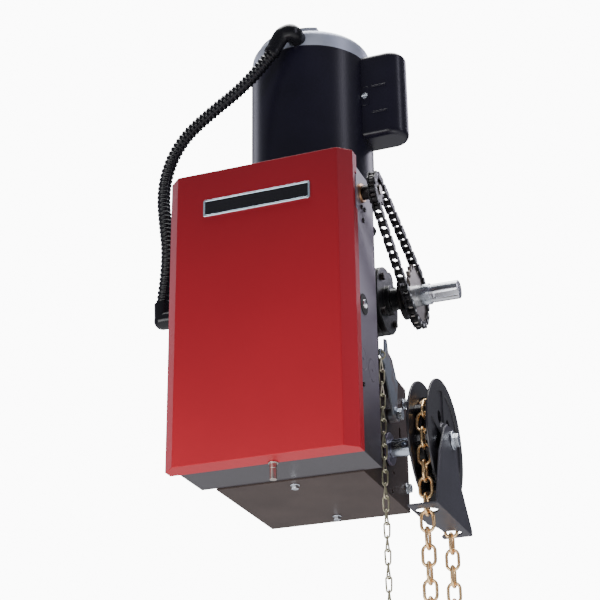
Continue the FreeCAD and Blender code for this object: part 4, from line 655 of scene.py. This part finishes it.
def link_outline(r, waist, length, steps=12):
    """Outline of a chain link plate between two pin centres."""
    points = []
    for centre, start, side in ((0, 60, -1), (length, -120, 1)):
        for k in range(steps + 1):
            a = math.radians(start) + math.radians(240) * k / steps
            points.append(Vector((centre + r * math.cos(a), r * math.sin(a))))
        points.append(Vector((length / 2, side * waist)))
    return points


def make_chain():
    """Black link plates and rollers, with bright rivet heads."""
    one = bmesh.new()
    plate(one, link_outline(LINK_R, LINK_WAIST, PITCH), [], LINK_T, on_yz(0), edge=0.25)
    link = bpy.data.meshes.new("link_plate")
    one.to_mesh(link)
    one.free()
    bm = bmesh.new()
    for k in range(LINKS):
        y, z = chain_pin(k)
        y2, z2 = chain_pin((k + 1) % LINKS)
        turn = Matrix.Rotation(math.atan2(z2 - z, y2 - y), 4, "X")
        inside = INNER_X if k % 2 == 0 else OUTER_X
        for x in (CHAIN_X + inside, CHAIN_X - inside - LINK_T):
            stamp(bm, link, Matrix.Translation((x, y, z)) @ turn)
        lathe(bm, disc_profile(ROLLER_R, -ROLLER_HALF, ROLLER_HALF, 0.5), (CHAIN_X, y, z), X, 24)
        for side in (-1, 1):
            lathe(bm, RIVET_HEAD, (CHAIN_X + side * RIVET_X, y, z), X * side, 16, mat=1)
    bpy.data.meshes.remove(link)
    piece("chain_links", bm, "frame", [CHAIN_BLACK, PIN_BRIGHT], "limit_chain", crease=40)


make_chain()


# --- capacitor cover details -----------------------------------------------------------
CAPACITOR_FRONT_Y = MOTOR_Y - 24
SLOT_X = (113, 135)
SLOT_Z = (576, 534)
SLOT_HALF = 1.3
EAR = ((97, 548), (110, 546), (110, 578), (97, 576))


def make_capacitor_marks():
    """Two pressed slots and the screw's ear on the capacitor cover."""
    bm = bmesh.new()
    for z in SLOT_Z:
        slot = slab(*SLOT_X, z - SLOT_HALF, z + SLOT_HALF, 1.2)
        plate(bm, slot, [], 0.9, on_xz(CAPACITOR_FRONT_Y + 0.1), edge=0.4)
    plate(bm, rounded(EAR, 4.5), [], 1.0, on_xz(CAPACITOR_FRONT_Y + 0.25), edge=0.35)
    piece("capacitor_marks", bm, "frame", [MOTOR_BLACK])


make_capacitor_marks()


# --- motor elbow ------------------------------------------------------------------------
ELBOW_LINE = ((25, 96, 639), (25, 86, 640), (24, 77, 640.5), (20, 71.5, 640), (11, 70, 636.5),
              (5, 70, 629), (0, 70, 620), (-6, 70, 610))
ELBOW_R = 12.6
ELBOW_TAPER = 2.4
TAPER_FROM = 0.35
COLLAR_FROM = 0.92
COLLAR_LIP = 0.7


def smooth_line(points, steps):
    """Catmull-Rom curve through the points."""
    points = [Vector(p) for p in points]
    line = []
    for i in range(len(points) - 1):
        a = points[max(i - 1, 0)]
        b = points[i]
        c = points[i + 1]
        d = points[min(i + 2, len(points) - 1)]
        for k in range(steps):
            t = k / steps
            line.append(0.5 * (2 * b + (c - a) * t + (2 * a - 5 * b + 4 * c - d) * t * t
                               + (3 * b - a - 3 * c + d) * t ** 3))
    return line + [points[-1]]


def make_motor_elbow():
    """Smooth swept elbow from the end bell to the conduit's first ribs."""
    path = smooth_line(ELBOW_LINE, 6)

    def girth(i, angle):
        t = i / (len(path) - 1)
        taper = ELBOW_TAPER * max(0.0, t - TAPER_FROM) / (1 - TAPER_FROM)
        return ELBOW_R - taper + (COLLAR_LIP if t > COLLAR_FROM else 0.0)

    bm = bmesh.new()
    tube(bm, path, girth, steps=40)
    piece("elbow_motor", bm, "frame", [ELBOW_BLACK], "conduit_elbow_motor", crease=50,
          bevel=0.6)


make_motor_elbow()


# --- pull chain --------------------------------------------------------------------------
PULL_X = 111
PULL_Y = 157.5
PULL_TOP_Z = 168.45
PULL_LINKS = 19
PULL_PITCH = 17.0
PULL_WIDTH = 9.4
PULL_WIRE_R = 1.2
PULL_TWIST = 0.35
RING_Z = 172.9
RING_R = 5.4
RING_WIRE_R = 1.15


def oval(wire, pitch, width, twist):
    """Closed centre line of a twisted oval link along Z."""
    bend = width / 2 - wire
    half = (pitch + 0.5) / 2 + wire - bend
    points = []
    for side in (1, -1):
        for k in range(9):
            a = math.pi * k / 8
            points.append(Vector((0, side * bend * math.cos(a), side * (half + bend * math.sin(a)))))
        for k in range(5):
            points.append(Vector((0, -side * bend, side * (half - 2 * half * (k + 0.5) / 5))))
    return [Matrix.Rotation(twist * p.z / (half + bend), 3, "Z") @ p for p in points]


def make_pull_chain():
    """Twisted oval links, each turned by a quarter to the last, below a round ring."""
    bm = bmesh.new()
    line = oval(PULL_WIRE_R, PULL_PITCH, PULL_WIDTH, PULL_TWIST)
    for k in range(PULL_LINKS):
        place = Matrix.Translation((PULL_X, PULL_Y, PULL_TOP_Z - (k + 0.5) * PULL_PITCH))
        if k % 2 == 1:
            place = place @ Matrix.Rotation(math.pi / 2, 4, "Z")
        tube(bm, [place @ p for p in line], PULL_WIRE_R, steps=10, closed=True)
    ring = []
    for k in range(24):
        a = 2 * math.pi * k / 24
        ring.append(Vector((PULL_X + RING_R * math.cos(a), PULL_Y, RING_Z + RING_R * math.sin(a))))
    tube(bm, ring, RING_WIRE_R, steps=10, closed=True)
    piece("pull_links", bm, "pull_chain", [SASH], "sash_chain")


make_pull_chain()


# --- light and floor -------------------------------------------------------------------
FLOOR_Z = -1.9
FLOOR_HALF = 6.0
FLOOR_GLOW = 0.22
ROOM_COLOR = (0.86, 0.88, 1.0, 1)
ROOM_STRENGTH = 0.20
SHEET_STRENGTH = 11.0
MIDDLE = (0, -0.15, 0.1)
# name, place, what it points at, width and height in metres, watts, tint
LIGHTS = (
    ("right_strip", (2.3, -0.5, 1.1), MIDDLE, (0.35, 2.4), 13, (0.86, 0.84, 1.0)),
    ("left_back", (-2.2, 0.9, 1.1), MIDDLE, (0.8, 2.0), 9, (0.85, 0.85, 1.0)),
    ("front_left", (-1.3, -2.9, -0.5), MIDDLE, (2.2, 1.2), 58, (1, 1, 1)),
    ("back_right", (1.0, 2.0, 1.8), MIDDLE, (0.9, 0.9), 10, (0.88, 0.84, 1.0)),
    ("overhead", (0.0, 0.4, 4.5), (0, 0.4, 0), (4.0, 4.0), 480, (1, 1, 1)),
    ("low", (0.9, -1.2, -1.7), MIDDLE, (1.2, 0.8), 8, (1, 1, 1)),
)


def area_light(name, place, target, size, power, tint):
    """Rectangular light that points at its target."""
    data = bpy.data.lights.new(name, "AREA")
    data.shape = "RECTANGLE"
    data.size, data.size_y = size
    data.energy = power
    data.color = tint
    light = bpy.data.objects.new(name, data)
    light.location = place
    light.rotation_euler = (Vector(target) - Vector(place)).to_track_quat("-Z", "Y").to_euler()
    bpy.context.scene.collection.objects.link(light)


def make_world():
    """Dim cool room light, with a white sheet behind the object where the camera looks past it."""
    world = bpy.data.worlds.new("studio")
    bpy.context.scene.world = world
    world.use_nodes = True
    tree = world.node_tree
    room = tree.nodes["Background"]
    room.inputs["Color"].default_value = ROOM_COLOR
    room.inputs["Strength"].default_value = ROOM_STRENGTH
    sheet = tree.nodes.new("ShaderNodeBackground")
    sheet.inputs["Color"].default_value = (1, 1, 1, 1)
    sheet.inputs["Strength"].default_value = SHEET_STRENGTH
    seen = tree.nodes.new("ShaderNodeLightPath")
    both = tree.nodes.new("ShaderNodeMixShader")
    tree.links.new(seen.outputs["Is Camera Ray"], both.inputs["Fac"])
    tree.links.new(room.outputs["Background"], both.inputs[1])
    tree.links.new(sheet.outputs["Background"], both.inputs[2])
    tree.links.new(both.outputs["Shader"], tree.nodes["World Output"].inputs["Surface"])


def make_floor():
    """Plain pale floor, far below the object, with a faint glow of its own."""
    bm = bmesh.new()
    bmesh.ops.create_grid(bm, x_segments=1, y_segments=1, size=FLOOR_HALF)
    mesh = bpy.data.meshes.new("floor")
    bm.to_mesh(mesh)
    bm.free()
    floor = bpy.data.objects.new("floor", mesh)
    floor.location = (0, 0, FLOOR_Z)
    bpy.context.scene.collection.objects.link(floor)
    pale = surface("pale_floor", (0.85, 0.85, 0.85), rough=0.8, vary=0.02)
    shader = pale.node_tree.nodes["Principled BSDF"]
    shader.inputs["Emission Color"].default_value = (1, 1, 1, 1)
    shader.inputs["Emission Strength"].default_value = FLOOR_GLOW
    mesh.materials.append(pale)


make_world()
make_floor()
for light in LIGHTS:
    area_light(*light)
